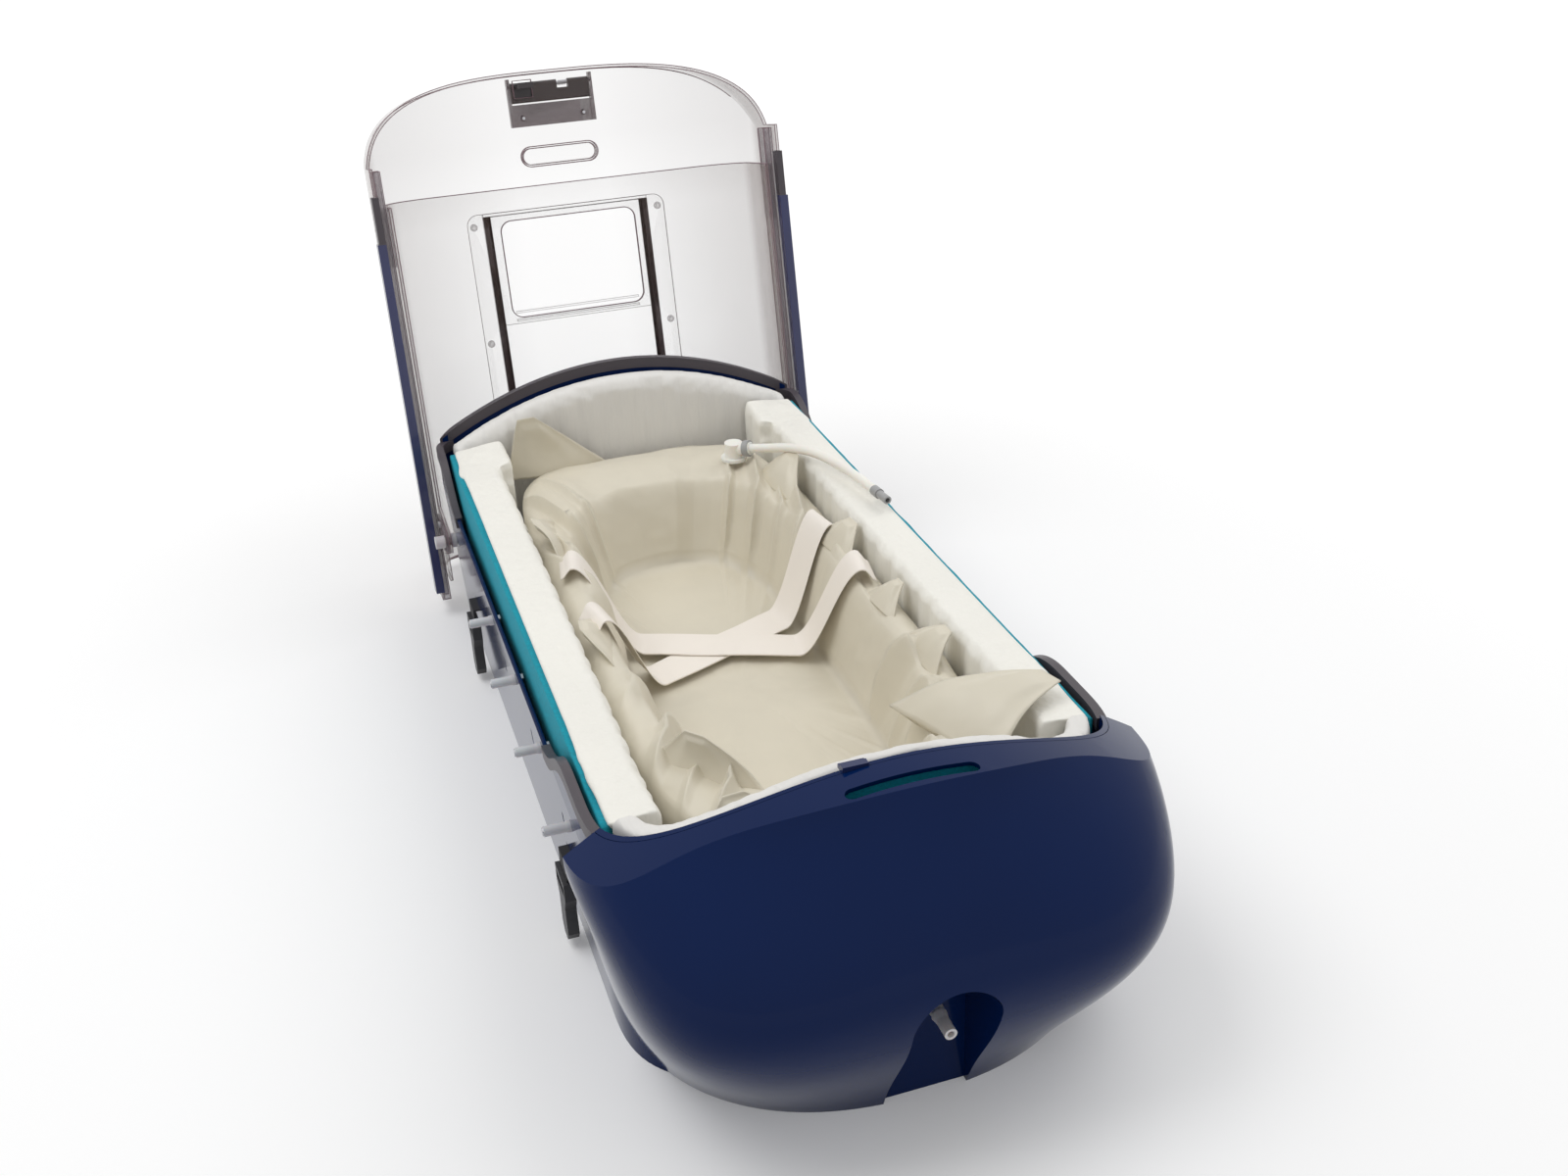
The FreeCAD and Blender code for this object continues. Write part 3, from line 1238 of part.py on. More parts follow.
def latch_lever():
    """Dark lever that rolls about its pin and swings a hooked blade off the keeper."""
    y, z = latch_pivot()
    low = z - LATCH_ROLL
    high = z + LATCH_ROLL
    plate = lid_box((-LATCH_HALF, LATCH_HALF), (LATCH_LEVER_START, LATCH_PIVOT_U), (low, high))
    roll = rod(LATCH_ROLL, (-LATCH_HALF, y, z), AXIS_X, 2 * LATCH_HALF)
    across = [e for e in plate.Edges if e.BoundBox.XLength > 1]
    tail_edges = [e for e in across if e.BoundBox.YMin > -LATCH_LEVER_START - 0.1]
    plate = plate.makeFillet(2.0, tail_edges)
    nose_top = latch_nose_top()
    nose_low = nose_top - LATCH_NOSE_HEIGHT
    face = latch_blade_face()
    blade_x = (KEEPER_X - LATCH_BLADE_HALF, KEEPER_X + LATCH_BLADE_HALF)
    blade = lid_box(blade_x, (face - LATCH_BLADE, face), (nose_low, z))
    nose = lid_box(blade_x, (face - LATCH_BLADE, face + KEEPER_LIP - 0.6), (nose_low, nose_top))
    bore = rod(LATCH_PIN_RADIUS + LATCH_RUN, (-LATCH_HALF - 1, y, z), AXIS_X, 2 * LATCH_HALF + 2)
    spring_room = lid_box(SPRING_X, (LATCH_PIVOT_U - 5, LATCH_PIVOT_U + 5), (low - 1, high + 1))
    return fused([plate, roll, blade, nose]).cut([bore, spring_room])


def latch_spring():
    """Small torsion coil round the latch pin, in the lever's gap."""
    y, z = latch_pivot()
    turns = 6
    mean = LATCH_PIN_RADIUS + 0.35 + SPRING_WIRE / 2
    height = SPRING_X[1] - SPRING_X[0] - 2 - SPRING_WIRE
    helix = Part.makeHelix(height / turns, height, mean)
    circle = Part.Wire(Part.Circle(Vector(mean, 0, 0), AXIS_Y, SPRING_WIRE / 2).toShape())
    coil = Part.Wire(helix.Edges).makePipeShell([circle], True, True)
    coil.rotate(Vector(0, 0, 0), AXIS_Y, 90)
    coil.translate(Vector(SPRING_X[0] + 1 + SPRING_WIRE / 2, y, z))
    return coil


# Build: every node once

def nodes():
    """All pieces by name, in the rest pose."""
    pod = {
        "tub_shell": tub_shell(),
        "foot_edge_trim": foot_edge_trim(),
        "nose_cover": nose_cover(),
        "nose_foam": nose_foam(),
        "latch_keeper": latch_keeper(),
        "drain_barb": drain_barb(),
        "drain_nut": drain_nut(),
        "side_pegs": side_pegs(),
        "peg_screws": peg_screws(),
        "peg_nuts": peg_nuts(),
        "hinge_pins": hinge_pins(),
        "hinge_nuts": hinge_nuts(),
        "tie_down_webs": tie_down_webs(),
        "tie_down_buckles": tie_down_buckles(),
        "foot_pad": foot_pad(),
        "head_pad": head_pad(),
        "base_mattress": base_mattress(),
        "vacuum_mattress": vacuum_mattress(),
        "mattress_valve": mattress_valve(),
        "valve_collar": valve_collar(),
        "vacuum_hose": vacuum_hose(),
        "hose_connector": hose_connector(),
        "harness_strap_lower": harness_strap(STRAP_SKEW, 0),
        "harness_strap_upper": harness_strap(-STRAP_SKEW, STRAP_THICKNESS + SOFT_GAP),
    }
    head_trim = head_edge_trim()
    pairs = {
        "head_edge_trim": (mirrored(head_trim), head_trim),
        "foam_liner": both_sides(foam_liner()),
        "bolster": both_sides(bolster()),
    }
    lid = {
        "rear_lid_shell": rear_lid_shell(),
        "bracket_screws": bracket_screws(),
        "front_lid_shell": front_lid_shell(),
        "hatch_frame": hatch_frame(),
        "hatch_screws": hatch_screws(),
        "hatch_panel": hatch_panel(),
        "latch_base": latch_base(),
        "latch_screws": latch_screws(),
        "latch_pin": latch_pin(),
        "latch_spring": latch_spring(),
        "latch_lever": latch_lever(),
    }
    lid_pairs = {
        "hinge_bracket": hinge_bracket(),
        "slider_block": slider_block(),
        "rail": rail(),
        "edge_strip": edge_channel(EDGE_STRIP_SPAN, EDGE_STRIP_OUT),
        "seal_strip": edge_channel(SEAL_SPAN, SEAL_OUT),
        "hatch_guide": hatch_guide(),
    }
    found = dict(pod)
    for name, (right, left) in pairs.items():
        found[name + "_right"] = right
        found[name + "_left"] = left
    for name, shape in lid.items():
        found[name] = lid_placed(shape)
    for name, shape in lid_pairs.items():
        found[name + "_right"] = lid_placed(shape)
        found[name + "_left"] = lid_placed(mirrored(shape))
    return found


os.makedirs("parts", exist_ok=True)
for name, shape in nodes().items():
    print(name, len(shape.Solids), "solids", round(shape.Volume), "mm3", "valid", shape.isValid())
    shape.exportStep("parts/" + name + ".step")
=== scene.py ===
import math

import bmesh
import bpy
from mathutils import Matrix, Vector, noise

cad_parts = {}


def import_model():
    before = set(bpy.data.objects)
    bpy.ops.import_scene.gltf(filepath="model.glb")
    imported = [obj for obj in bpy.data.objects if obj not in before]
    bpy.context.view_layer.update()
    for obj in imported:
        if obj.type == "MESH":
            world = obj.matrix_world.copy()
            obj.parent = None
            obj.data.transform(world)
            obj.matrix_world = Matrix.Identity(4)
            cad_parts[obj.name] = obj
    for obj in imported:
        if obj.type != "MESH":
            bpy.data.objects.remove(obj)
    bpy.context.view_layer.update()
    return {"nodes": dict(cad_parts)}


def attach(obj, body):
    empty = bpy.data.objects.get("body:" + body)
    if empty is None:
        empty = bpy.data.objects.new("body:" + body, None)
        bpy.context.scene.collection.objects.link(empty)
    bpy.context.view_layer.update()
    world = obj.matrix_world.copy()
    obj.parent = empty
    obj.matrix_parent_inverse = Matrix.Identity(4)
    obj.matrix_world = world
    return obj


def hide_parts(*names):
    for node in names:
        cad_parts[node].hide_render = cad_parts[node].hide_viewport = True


MM = 0.001

# Camera, fitted to the photograph's view
CAMERA_PLACE = (-0.33282, -1.21964, 0.85048)
CAMERA_TARGET = (0.08932, 0.1066, 0.1)
CAMERA_ROLL = -0.04
CAMERA_LENS = 37.78
SENSOR = 36.0

# Stage
WORLD_LIGHT = 0.55
SHADOW_REACH = (0.6, 1.25)
FLOOR_LIFT = 0.14
FLOOR_HALF = 30.0
LAMP_AIM = (0.0, 0.0, 0.1)
# Lamps: name, place, size and power in watts
LAMPS = (("key", (-1.3, 0.4, 2.7), 1.8, 30.0), ("fill", (1.6, 0.3, 2.4), 2.2, 20.0))

# Materials: where the darker shade turns to the lighter, how far roughness spreads, relief
SPOT_SPAN = (0.32, 0.62)
ROUGH_LEAST = 0.85
ROUGH_MOST = 1.2
RELIEF = 0.6
GATHER_DEPTH = 0.004

# Clear sheets: their tint grows edge on, down the sides and towards the head end
SHEET_IOR = 1.49
TINT_BLEND = 0.42
EDGE_ON = (0.35, 1.0)
SIDE_SPAN = (0.05, 0.2)
HEAD_SPAN = (0.36, 0.44)
SHARP_ANGLE = 0.9
SHORT_EDGE = 0.04
MERGE = 0.00001

# Tub, as in the CAD source
RIM_HALF = 0.193
BASE_HALF = 0.184
RIM_HEIGHT = 0.152
ARCH_HEIGHT = 0.25
ARCH_FALL = 0.057
ARCH_HALF = 0.19
HEAD_ROUND_START = -0.29
HEAD_END = -0.404
HEAD_POWER = 3.0

# Soft parts
BOLSTER_INNER = 0.141
BOLSTER_OUTER = 0.1756
BOLSTER_TOP = 0.2
BOLSTER_LIP = 0.1875
BOLSTER_LIP_LOW = 0.1905
BOLSTER_START = -0.33
BOLSTER_STEP = 0.292
BOLSTER_END = 0.3479
BOLSTER_BLEND = 0.006
BOLSTER_SEAM = 0.008
BLOCK_INNER = 0.1276
SOFT_LOW = 0.0054
FOOT_PAD_FACE = 0.3483
FOOT_PAD_BACK = 0.3783
FOOT_PAD_REACH = 0.187
FOOT_PAD_GAP = 0.0058
FOOT_PAD_CORE_GAP = 0.0062
HEAD_PAD_OUTSET = 0.0057
HEAD_PAD_THICK = 0.026
HEAD_PAD_END = -0.3304
HEAD_PAD_GAP = 0.0115
HEAD_PAD_CORE_GAP = 0.0145
HEAD_PAD_CORE = 0.0225
HEAD_PAD_HALF = 0.184
HEAD_PAD_TIP = 0.02
HEAD_PAD_TURN = 11
PAD_BELOW_RIM = 0.008
STUFFING = 0.0032
VOXEL = 0.0045
AIR_PRESSURE = 4.0
CLOTH_STEPS = 20
SWELL_CAP = 0.006
LINER_SPAN = (-0.326, 0.347)
LINER_X = (0.176, 0.184)
LINER_LOW = 0.121
LINER_TOP = 0.189
BASE_MAT_START = -0.3296
BASE_MAT_LENGTH = 0.6212
BASE_MAT_HALF = 0.14
BASE_MAT_TOP = 0.0448

# Vacuum mattress
MAT_CENTRE = -0.0015
MAT_HALF_X = 0.1372
MAT_HALF_Y = 0.339
MAT_TOP = 0.173
MAT_LOW = 0.0456
MAT_EDGE_DROP = 0.012
MAT_POWER = 5.0
COCOON_Z = 0.0925
COCOON_HALF_X = 0.086
COCOON_HALF_Y = 0.246
COCOON_CENTRE = -0.034
COCOON_POWER = 3.4
MOUTH_HALF_X = 0.112
MOUTH_HALF_Y = 0.274
MOUTH_CENTRE_SHIFT = 0.004
MOUTH_POWER = 3.6
MOUTH_DROP = 0.005
PLEAT_RISE = 0.014
PLEAT_PULL = 0.011
PLEAT_SLANT = 0.03
# Bands of the mattress from the cocoon's middle outwards, each with its number of rings
MATTRESS_BANDS = (("floor", 10), ("wall", 22), ("over", 8), ("out", 5))

# Pleats round the cocoon: angle in degrees, size and width in radians
PLEATS = (
    (88, 0.4, 0.12), (62, 0.5, 0.07), (44, 0.9, 0.1), (29, 0.5, 0.06), (17, 1.0, 0.09), (2, 0.5, 0.06),
    (-13, 1.0, 0.08), (-25, 0.5, 0.05), (-41, 0.9, 0.08), (-58, 0.4, 0.06), (-84, 0.5, 0.12),
    (-121, 1.0, 0.08), (-137, 0.5, 0.06), (-153, 1.0, 0.09), (-171, 0.5, 0.07), (173, 0.9, 0.08),
    (160, 0.5, 0.06), (143, 1.0, 0.09), (121, 0.5, 0.08),
)

# Loose corners of the mattress, in millimetres: two ends of the root, tip and lean
FLAPS = {
    "foot_left": ((-130, 329, 158), (-24, 333, 158), (-106, 326, 223), -5),
    "foot_right": ((104, 226, 166), (116, 132, 166), (136, 196, 197), 4),
    "right_middle": ((112, 74, 166), (118, -2, 166), (138, 38, 193), 4),
    "right_low": ((114, -52, 166), (118, -104, 166), (137, -76, 188), 3),
    "right_head": ((112, -128, 166), (114, -204, 166), (138, -176, 193), 4),
    "head_corner": ((66, -226, 164), (104, -336, 164), (172, -288, 199), 21),
    "left_foot": ((-120, 100, 166), (-112, 196, 166), (-138, 150, 194), 4),
    "left_middle": ((-118, -96, 166), (-112, -6, 166), (-138, -48, 189), 3),
    "head_left": ((-62, -300, 166), (-128, -226, 166), (-101, -258, 201), 7),
    "head_front": ((-130, -333, 160), (-34, -334, 160), (-92, -330, 197), 4),
}
FLAP_COLUMNS = 20
FLAP_ROWS = 28
FLAP_TIP = 0.16
FLAP_WAVE = 0.0035
FLAP_WELD = 0.0006
FLAP_FILLING = 0.0032

# Harness
STRAP_HALF = 0.0185
STRAP_THICK = 0.0018
STRAP_SKEW = 0.42
STRAP_Y = 0.025
STRAP_REACH = 0.128
STRAP_RISE = (0.064, 0.117)
STRAP_TUCK = (0.118, 0.128)
STRAP_TUCK_DEPTH = 0.011
STRAP_OVERLAP = 0.0024

# Hose route, as in the CAD source
HOSE_ROUTE = (
    (0.102, 0.238, 0.191), (0.117, 0.2225, 0.195), (0.133, 0.201, 0.2015), (0.147, 0.173, 0.2052),
    (0.158, 0.14, 0.205), (0.165, 0.105, 0.205), (0.169, 0.07, 0.205),
)
HOSE_DIAMETER = 0.009


# Materials

def linear(rgb):
    """Linear colour from sRGB values of 0 to 255."""
    found = []
    for value in rgb:
        share = value / 255
        found.append(share / 12.92 if share <= 0.04045 else ((share + 0.055) / 1.055) ** 2.4)
    return found + [1.0]


def link(tree, source, target):
    """Joins an output to an input."""
    tree.links.new(source, target)


def maths(tree, operation, first, second):
    """Output of a Math node; each input is an output to link or a number."""
    node = tree.nodes.new("ShaderNodeMath")
    node.operation = operation
    for place, value in enumerate((first, second)):
        if isinstance(value, (int, float)):
            node.inputs[place].default_value = value
        else:
            link(tree, value, node.inputs[place])
    return node.outputs[0]


def ranged(tree, value, source, target):
    """Output of a Map Range node from one span to another."""
    node = tree.nodes.new("ShaderNodeMapRange")
    node.inputs["From Min"].default_value = source[0]
    node.inputs["From Max"].default_value = source[1]
    node.inputs["To Min"].default_value = target[0]
    node.inputs["To Max"].default_value = target[1]
    link(tree, value, node.inputs["Value"])
    return node.outputs["Result"]


def noise_node(tree, vector, scale, detail):
    """Output of a noise texture."""
    node = tree.nodes.new("ShaderNodeTexNoise")
    node.inputs["Scale"].default_value = scale
    node.inputs["Detail"].default_value = detail
    link(tree, vector, node.inputs["Vector"])
    return node.outputs["Fac"]


def bump_node(tree, height, distance):
    """Bump node that turns a height of 0 to 1 into relief of a given depth."""
    node = tree.nodes.new("ShaderNodeBump")
    node.inputs["Distance"].default_value = distance
    node.inputs["Strength"].default_value = RELIEF
    link(tree, height, node.inputs["Height"])
    return node


def gathered(tree, place, scale):
    """Soft relief stretched along one direction, as in fabric pulled tight by its seams."""
    stretch = tree.nodes.new("ShaderNodeMapping")
    stretch.inputs["Scale"].default_value = scale
    link(tree, place, stretch.inputs["Vector"])
    folds = noise_node(tree, stretch.outputs["Vector"], 1.0, 2.0)
    return bump_node(tree, folds, GATHER_DEPTH).outputs["Normal"]


def material(name, colour, rough, vary=0.05, spot=12.0, grain=350.0, depth=0.00004, gathers=None, **sockets):
    """Principled material with colour, roughness and relief that vary over the surface."""
    made = bpy.data.materials.new(name)
    made.use_nodes = True
    tree = made.node_tree
    shader = tree.nodes["Principled BSDF"]
    for socket, value in sockets.items():
        shader.inputs[socket.replace("_", " ")].default_value = value
    place = tree.nodes.new("ShaderNodeTexCoord").outputs["Object"]
    broad = noise_node(tree, place, spot, 5.0)
    ramp = tree.nodes.new("ShaderNodeValToRGB")
    base = linear(colour)
    dark = [c * (1 - vary) for c in base[:3]] + [1.0]
    for index, shade in enumerate((dark, base)):
        ramp.color_ramp.elements[index].position = SPOT_SPAN[index]
        ramp.color_ramp.elements[index].color = shade
    link(tree, broad, ramp.inputs["Fac"])
    link(tree, ramp.outputs["Color"], shader.inputs["Base Color"])
    spread = (rough * ROUGH_LEAST, min(1.0, rough * ROUGH_MOST))
    link(tree, ranged(tree, broad, (0.0, 1.0), spread), shader.inputs["Roughness"])
    if depth:
        bump = bump_node(tree, noise_node(tree, place, grain, 3.0), depth)
        if gathers:
            link(tree, gathered(tree, place, gathers), bump.inputs["Normal"])
        link(tree, bump.outputs["Normal"], shader.inputs["Normal"])
    return made


def clear_material(name, colour, least, most, sides=0.0, head=0.0, rough=0.05):
    """Clear sheet: faint face on, tinted where seen edge on, down its sides and at its head end."""
    made = material(name, colour, rough, vary=0.06, spot=5.0, depth=0.0, IOR=SHEET_IOR)
    tree = made.node_tree
    facing = tree.nodes.new("ShaderNodeLayerWeight")
    facing.inputs["Blend"].default_value = TINT_BLEND
    total = ranged(tree, facing.outputs["Facing"], EDGE_ON, (least, most))
    place = tree.nodes.new("ShaderNodeTexCoord")
    parts = tree.nodes.new("ShaderNodeSeparateXYZ")
    link(tree, place.outputs["Object"], parts.inputs["Vector"])
    across = maths(tree, "ABSOLUTE", parts.outputs["X"], 0.0)
    total = maths(tree, "ADD", total, ranged(tree, across, SIDE_SPAN, (0.0, sides)))
    total = maths(tree, "ADD", total, ranged(tree, parts.outputs["Z"], HEAD_SPAN, (0.0, head)))
    link(tree, total, tree.nodes["Principled BSDF"].inputs["Alpha"])
    return made


def make_materials():
    """All materials, each under its own name."""
    return {
        "navy": material("navy", (3, 30, 78), 0.09, vary=0.12, spot=4.0, grain=90.0, depth=0.00001,
                         Specular_IOR_Level=0.11),
        "keeper": material("keeper", (34, 44, 88), 0.3, vary=0.1, depth=0.0),
        "trim": material("trim", (66, 60, 66), 0.42, grain=900.0, depth=0.00003),
        "teal": material("teal", (0, 150, 170), 0.9, vary=0.25, spot=420.0, grain=1500.0, depth=0.0003),
        "cream": material("cream", (241, 239, 231), 0.5, vary=0.03, grain=600.0,
                          gathers=(90.0, 90.0, 5.0), Sheen_Weight=0.15),
        "white": material("white", (229, 227, 223), 0.6, vary=0.04, grain=700.0,
                          gathers=(110.0, 30.0, 5.0), Sheen_Weight=0.2),
        "beige": material("beige", (217, 210, 192), 0.42, vary=0.05, grain=900.0,
                          gathers=(26.0, 26.0, 26.0), Sheen_Weight=0.1),
        "webbing": material("webbing", (240, 233, 224), 0.65, vary=0.04, grain=900.0, depth=0.00012),
        "smoky": material("smoky", (122, 108, 114), 0.2, vary=0.1, depth=0.0, Alpha=0.74),
        "strip": material("strip", (34, 40, 88), 0.25, vary=0.1, depth=0.00001, Coat_Weight=0.3),
        "dark": material("dark", (52, 46, 49), 0.3, vary=0.12, grain=700.0, depth=0.00002),
        "black": material("black", (44, 44, 47), 0.42, vary=0.12, grain=800.0),
        "belt": material("belt", (40, 40, 43), 0.8, vary=0.2, grain=1200.0, depth=0.00012),
        "nylon": material("nylon", (214, 210, 212), 0.35, vary=0.05, depth=0.00001,
                          Subsurface_Weight=0.1),
        "steel": material("steel", (190, 190, 194), 0.28, vary=0.1, grain=700.0, depth=0.00001,
                          Metallic=1.0),
        "grey": material("grey", (160, 160, 160), 0.4, vary=0.06),
        "hose": material("hose", (242, 238, 230), 0.35, vary=0.03, depth=0.00001,
                         Subsurface_Weight=0.15),
        "clear": clear_material("clear", (134, 112, 104), 0.035, 0.5, sides=0.085, head=0.05),
        "frame": clear_material("frame", (132, 118, 118), 0.025, 0.5),
        "panel": clear_material("panel", (150, 136, 138), 0.015, 0.4),
        "rail": clear_material("rail", (170, 158, 164), 0.4, 0.75, rough=0.15),
        "disc": clear_material("disc", (236, 230, 230), 0.35, 0.5, rough=0.2),
        # Painted light: the guides' colour is lifted far above their own dark grey, to make up for the light
        # they lose behind the clear sheets
        "guide": material("guide", (140, 128, 130), 0.3, vary=0.12, grain=700.0, depth=0.00002),
        "edge": material("edge", (146, 120, 128), 0.3, vary=0.1, depth=0.0, Alpha=0.75),
        "seam": material("seam", (176, 164, 166), 0.3, vary=0.1, depth=0.0, Alpha=0.6),
    }


NODE_MATERIALS = {
    "navy": ["tub_shell", "nose_cover"],
    "keeper": ["latch_keeper"],
    "strip": ["edge_strip_left", "edge_strip_right"],
    "trim": [
        "foot_edge_trim", "head_edge_trim_left", "head_edge_trim_right", "seal_strip_left",
        "seal_strip_right",
    ],
    "teal": ["nose_foam"],
    "steel": [
        "peg_screws", "peg_nuts", "hinge_nuts", "bracket_screws", "latch_screws", "latch_pin",
        "latch_spring",
    ],
    "nylon": ["drain_barb", "drain_nut", "side_pegs", "hinge_pins"],
    "disc": ["hatch_screws"],
    "belt": ["tie_down_webs"],
    "black": ["tie_down_buckles"],
    "smoky": ["hinge_bracket_left", "hinge_bracket_right", "latch_base"],
    "rail": ["rail_left", "rail_right", "slider_block_left", "slider_block_right"],
    "dark": ["latch_lever"],
    "guide": ["hatch_guide_left", "hatch_guide_right"],
    "clear": ["rear_lid_shell", "front_lid_shell"],
    "frame": ["hatch_frame"],
    "panel": ["hatch_panel"],
    "hose": ["mattress_valve"],
    "grey": ["valve_collar", "hose_connector"],
}

# Clear solids whose cut edges show, with the body, the finish of their lines and half a line's width
EDGED = (
    ("rear_lid_shell", "rear_lid", "edge", 0.0005),
    ("front_lid_shell", "front_lid", "edge", 0.0005),
    ("hatch_frame", "front_lid", "seam", 0.00025),
    ("hatch_panel", "hatch", "seam", 0.00015),
    ("rail_left", "front_lid", "edge", 0.0004),
    ("rail_right", "front_lid", "edge", 0.0004),
)


def paint_nodes(frame, materials):
    """Gives every CAD node its material."""
    for key, names in NODE_MATERIALS.items():
        for name in names:
            for place in frame["nodes"][name].material_slots:
                place.material = materials[key]


# Mesh helpers

def placed(name, data):
    """Object of the scene that holds a mesh, a curve, a lamp or a camera."""
    made = bpy.data.objects.new(name, data)
    bpy.context.scene.collection.objects.link(made)
    return made


def mesh_object(name, points, faces, finish):
    """Smooth-shaded mesh with one material."""
    data = bpy.data.meshes.new(name)
    data.from_pydata([tuple(p) for p in points], [], faces)
    data.validate()
    data.polygons.foreach_set("use_smooth", [True] * len(data.polygons))
    data.materials.append(finish)
    return placed(name, data)


def curve_object(name, kind, runs, radius, finish):
    """Round lines through runs of points."""
    data = bpy.data.curves.new(name, "CURVE")
    data.dimensions = "3D"
    for run in runs:
        spline = data.splines.new(kind)
        spline.points.add(len(run) - 1)
        for place, point in zip(spline.points, run):
            place.co = (*point, 1.0)
    data.bevel_depth = radius
    data.materials.append(finish)
    return placed(name, data)


def loft(name, rings, finish):
    """Closed skin through rings of equal length, with its two ends capped."""
    size = len(rings[0])
    points = [p for ring in rings for p in ring]
    faces = []
    for row in range(len(rings) - 1):
        here = row * size
        beyond = here + size
        for k in range(size):
            following = (k + 1) % size
            faces.append((here + k, here + following, beyond + following, beyond + k))
    faces.append(tuple(reversed(range(size))))
    faces.append(tuple(range((len(rings) - 1) * size, len(rings) * size)))
    return mesh_object(name, points, faces, finish)


def rounded_profile(low, high, corner, per_side=9):
    """Points round a rectangle with rounded corners, counter-clockwise, as (across, up)."""
    centres = [
        (high[0] - corner, low[1] + corner, -90), (high[0] - corner, high[1] - corner, 0),
        (low[0] + corner, high[1] - corner, 90), (low[0] + corner, low[1] + corner, 180),
    ]
    arcs = []
    for cx, cz, start in centres:
        arc = []
        for step in range(6):
            angle = math.radians(start + 18 * step)
            arc.append((cx + corner * math.cos(angle), cz + corner * math.sin(angle)))
        arcs.append(arc)
    points = []
    for index, arc in enumerate(arcs):
        points += arc
        begin = arc[-1]
        end = arcs[(index + 1) % 4][0]
        for step in range(1, per_side):
            share = step / per_side
            points.append(tuple(a + (b - a) * share for a, b in zip(begin, end)))
    return points


def smooth_step(low, high, value):
    """0 below one value, 1 above the other, and an even change between them."""
    share = min(1.0, max(0.0, (value - low) / (high - low)))
    return share * share * (3 - 2 * share)


def crease(value, places, width):
    """Sum of narrow grooves at the given places."""
    return sum(math.exp(-((value - place) / width) ** 2) for place in places)


def scattered(count, low, high, seed):
    """Uneven places between two ends, the same in every run."""
    places = []
    for index in range(count):
        shift = noise.noise(Vector((seed, index * 1.7, 0.3)))
        places.append(low + (high - low) * (index + 0.5 + 0.8 * shift) / count)
    return places


def ripple(point, scale, seed=0.0):
    """Smooth unevenness of about -1 to 1, the same in every run."""
    return noise.noise(Vector(point) * scale + Vector((seed, seed, seed)))


BOLSTER_WRINKLES = scattered(21, BOLSTER_START, BOLSTER_END, 3.1)
PAD_WRINKLES = scattered(15, -0.18, 0.18, 8.0)
HEAD_WRINKLES = scattered(9, -0.16, 0.16, 5.0)


def vault(x):
    """Height of the tub's arched ends."""
    return ARCH_HEIGHT - ARCH_FALL * (x / ARCH_HALF) ** 2


def side_half(z):
    """Half the tub's width, which grows towards its rim."""
    return BASE_HALF + (RIM_HALF - BASE_HALF) * min(z / RIM_HEIGHT, 1.0)


# Cut edges of the clear sheets

def sharp_lines(node):
    """Runs of points along the sharp edges of a CAD solid."""
    work = bmesh.new()
    work.from_mesh(node.data)
    bmesh.ops.remove_doubles(work, verts=work.verts, dist=MERGE)
    left = {
        edge for edge in work.edges
        if len(edge.link_faces) == 2 and edge.calc_face_angle() > SHARP_ANGLE
    }
    runs = []
    while left:
        edge = min(left, key=lambda one: one.index)
        left.remove(edge)
        run = list(edge.verts)
        for _ in range(2):
            following = True
            while following:
                following = [one for one in run[-1].link_edges if one in left]
                if following:
                    left.remove(following[0])
                    run.append(following[0].other_vert(run[-1]))
            run.reverse()
        points = [vertex.co.copy() for vertex in run]
        length = sum((after - before).length for before, after in zip(points, points[1:]))
        if length > SHORT_EDGE:
            runs.append(points)
    work.free()
    return runs


def edge_lines(name, node, finish, half):
    """Thin line along each long sharp edge of a clear sheet, where its cut edge shows."""
    made = curve_object(name, "POLY", sharp_lines(node), half, finish)
    made.data.bevel_resolution = 1
    return made


# Soft parts

def bolster(side, finish):
    """Side bolster: a long block that is wider at its foot end and laps over the foam board beside it."""
    rings = []
    count = 136
    for step in range(count + 1):
        y = BOLSTER_START + (BOLSTER_END - BOLSTER_START) * step / count
        blocky = smooth_step(BOLSTER_STEP - BOLSTER_BLEND, BOLSTER_STEP + BOLSTER_BLEND, y)
        inner = BOLSTER_INNER + (BLOCK_INNER - BOLSTER_INNER) * blocky + STUFFING
        outer = BOLSTER_OUTER - STUFFING
        ring = []
        for x, z in rounded_profile((inner, SOFT_LOW + STUFFING), (outer, BOLSTER_TOP - 0.0012), 0.005, 14):
            beyond = smooth_step(BOLSTER_LIP_LOW - 0.001, BOLSTER_LIP_LOW + 0.002, z)
            beyond *= smooth_step(0.15, 0.17, x)
            ring.append((side * (x + (BOLSTER_LIP - BOLSTER_OUTER) * beyond), y, z))
        rings.append(ring)
    return loft("bolster_cover_right" if side > 0 else "bolster_cover_left", rings, finish)


def bolster_space(point, side):
    """Nearest place to a point inside the bolster's own space."""
    inner = BOLSTER_INNER if point.y < BOLSTER_STEP else BLOCK_INNER
    z = min(max(point.z, SOFT_LOW), BOLSTER_TOP + 0.0015)
    lip = smooth_step(BOLSTER_LIP_LOW - 0.003, BOLSTER_LIP_LOW, z)
    outer = BOLSTER_OUTER + (BOLSTER_LIP - BOLSTER_OUTER) * lip
    x = min(max(side * point.x, inner), outer)
    return Vector((side * x, min(max(point.y, BOLSTER_START), BOLSTER_END), z))


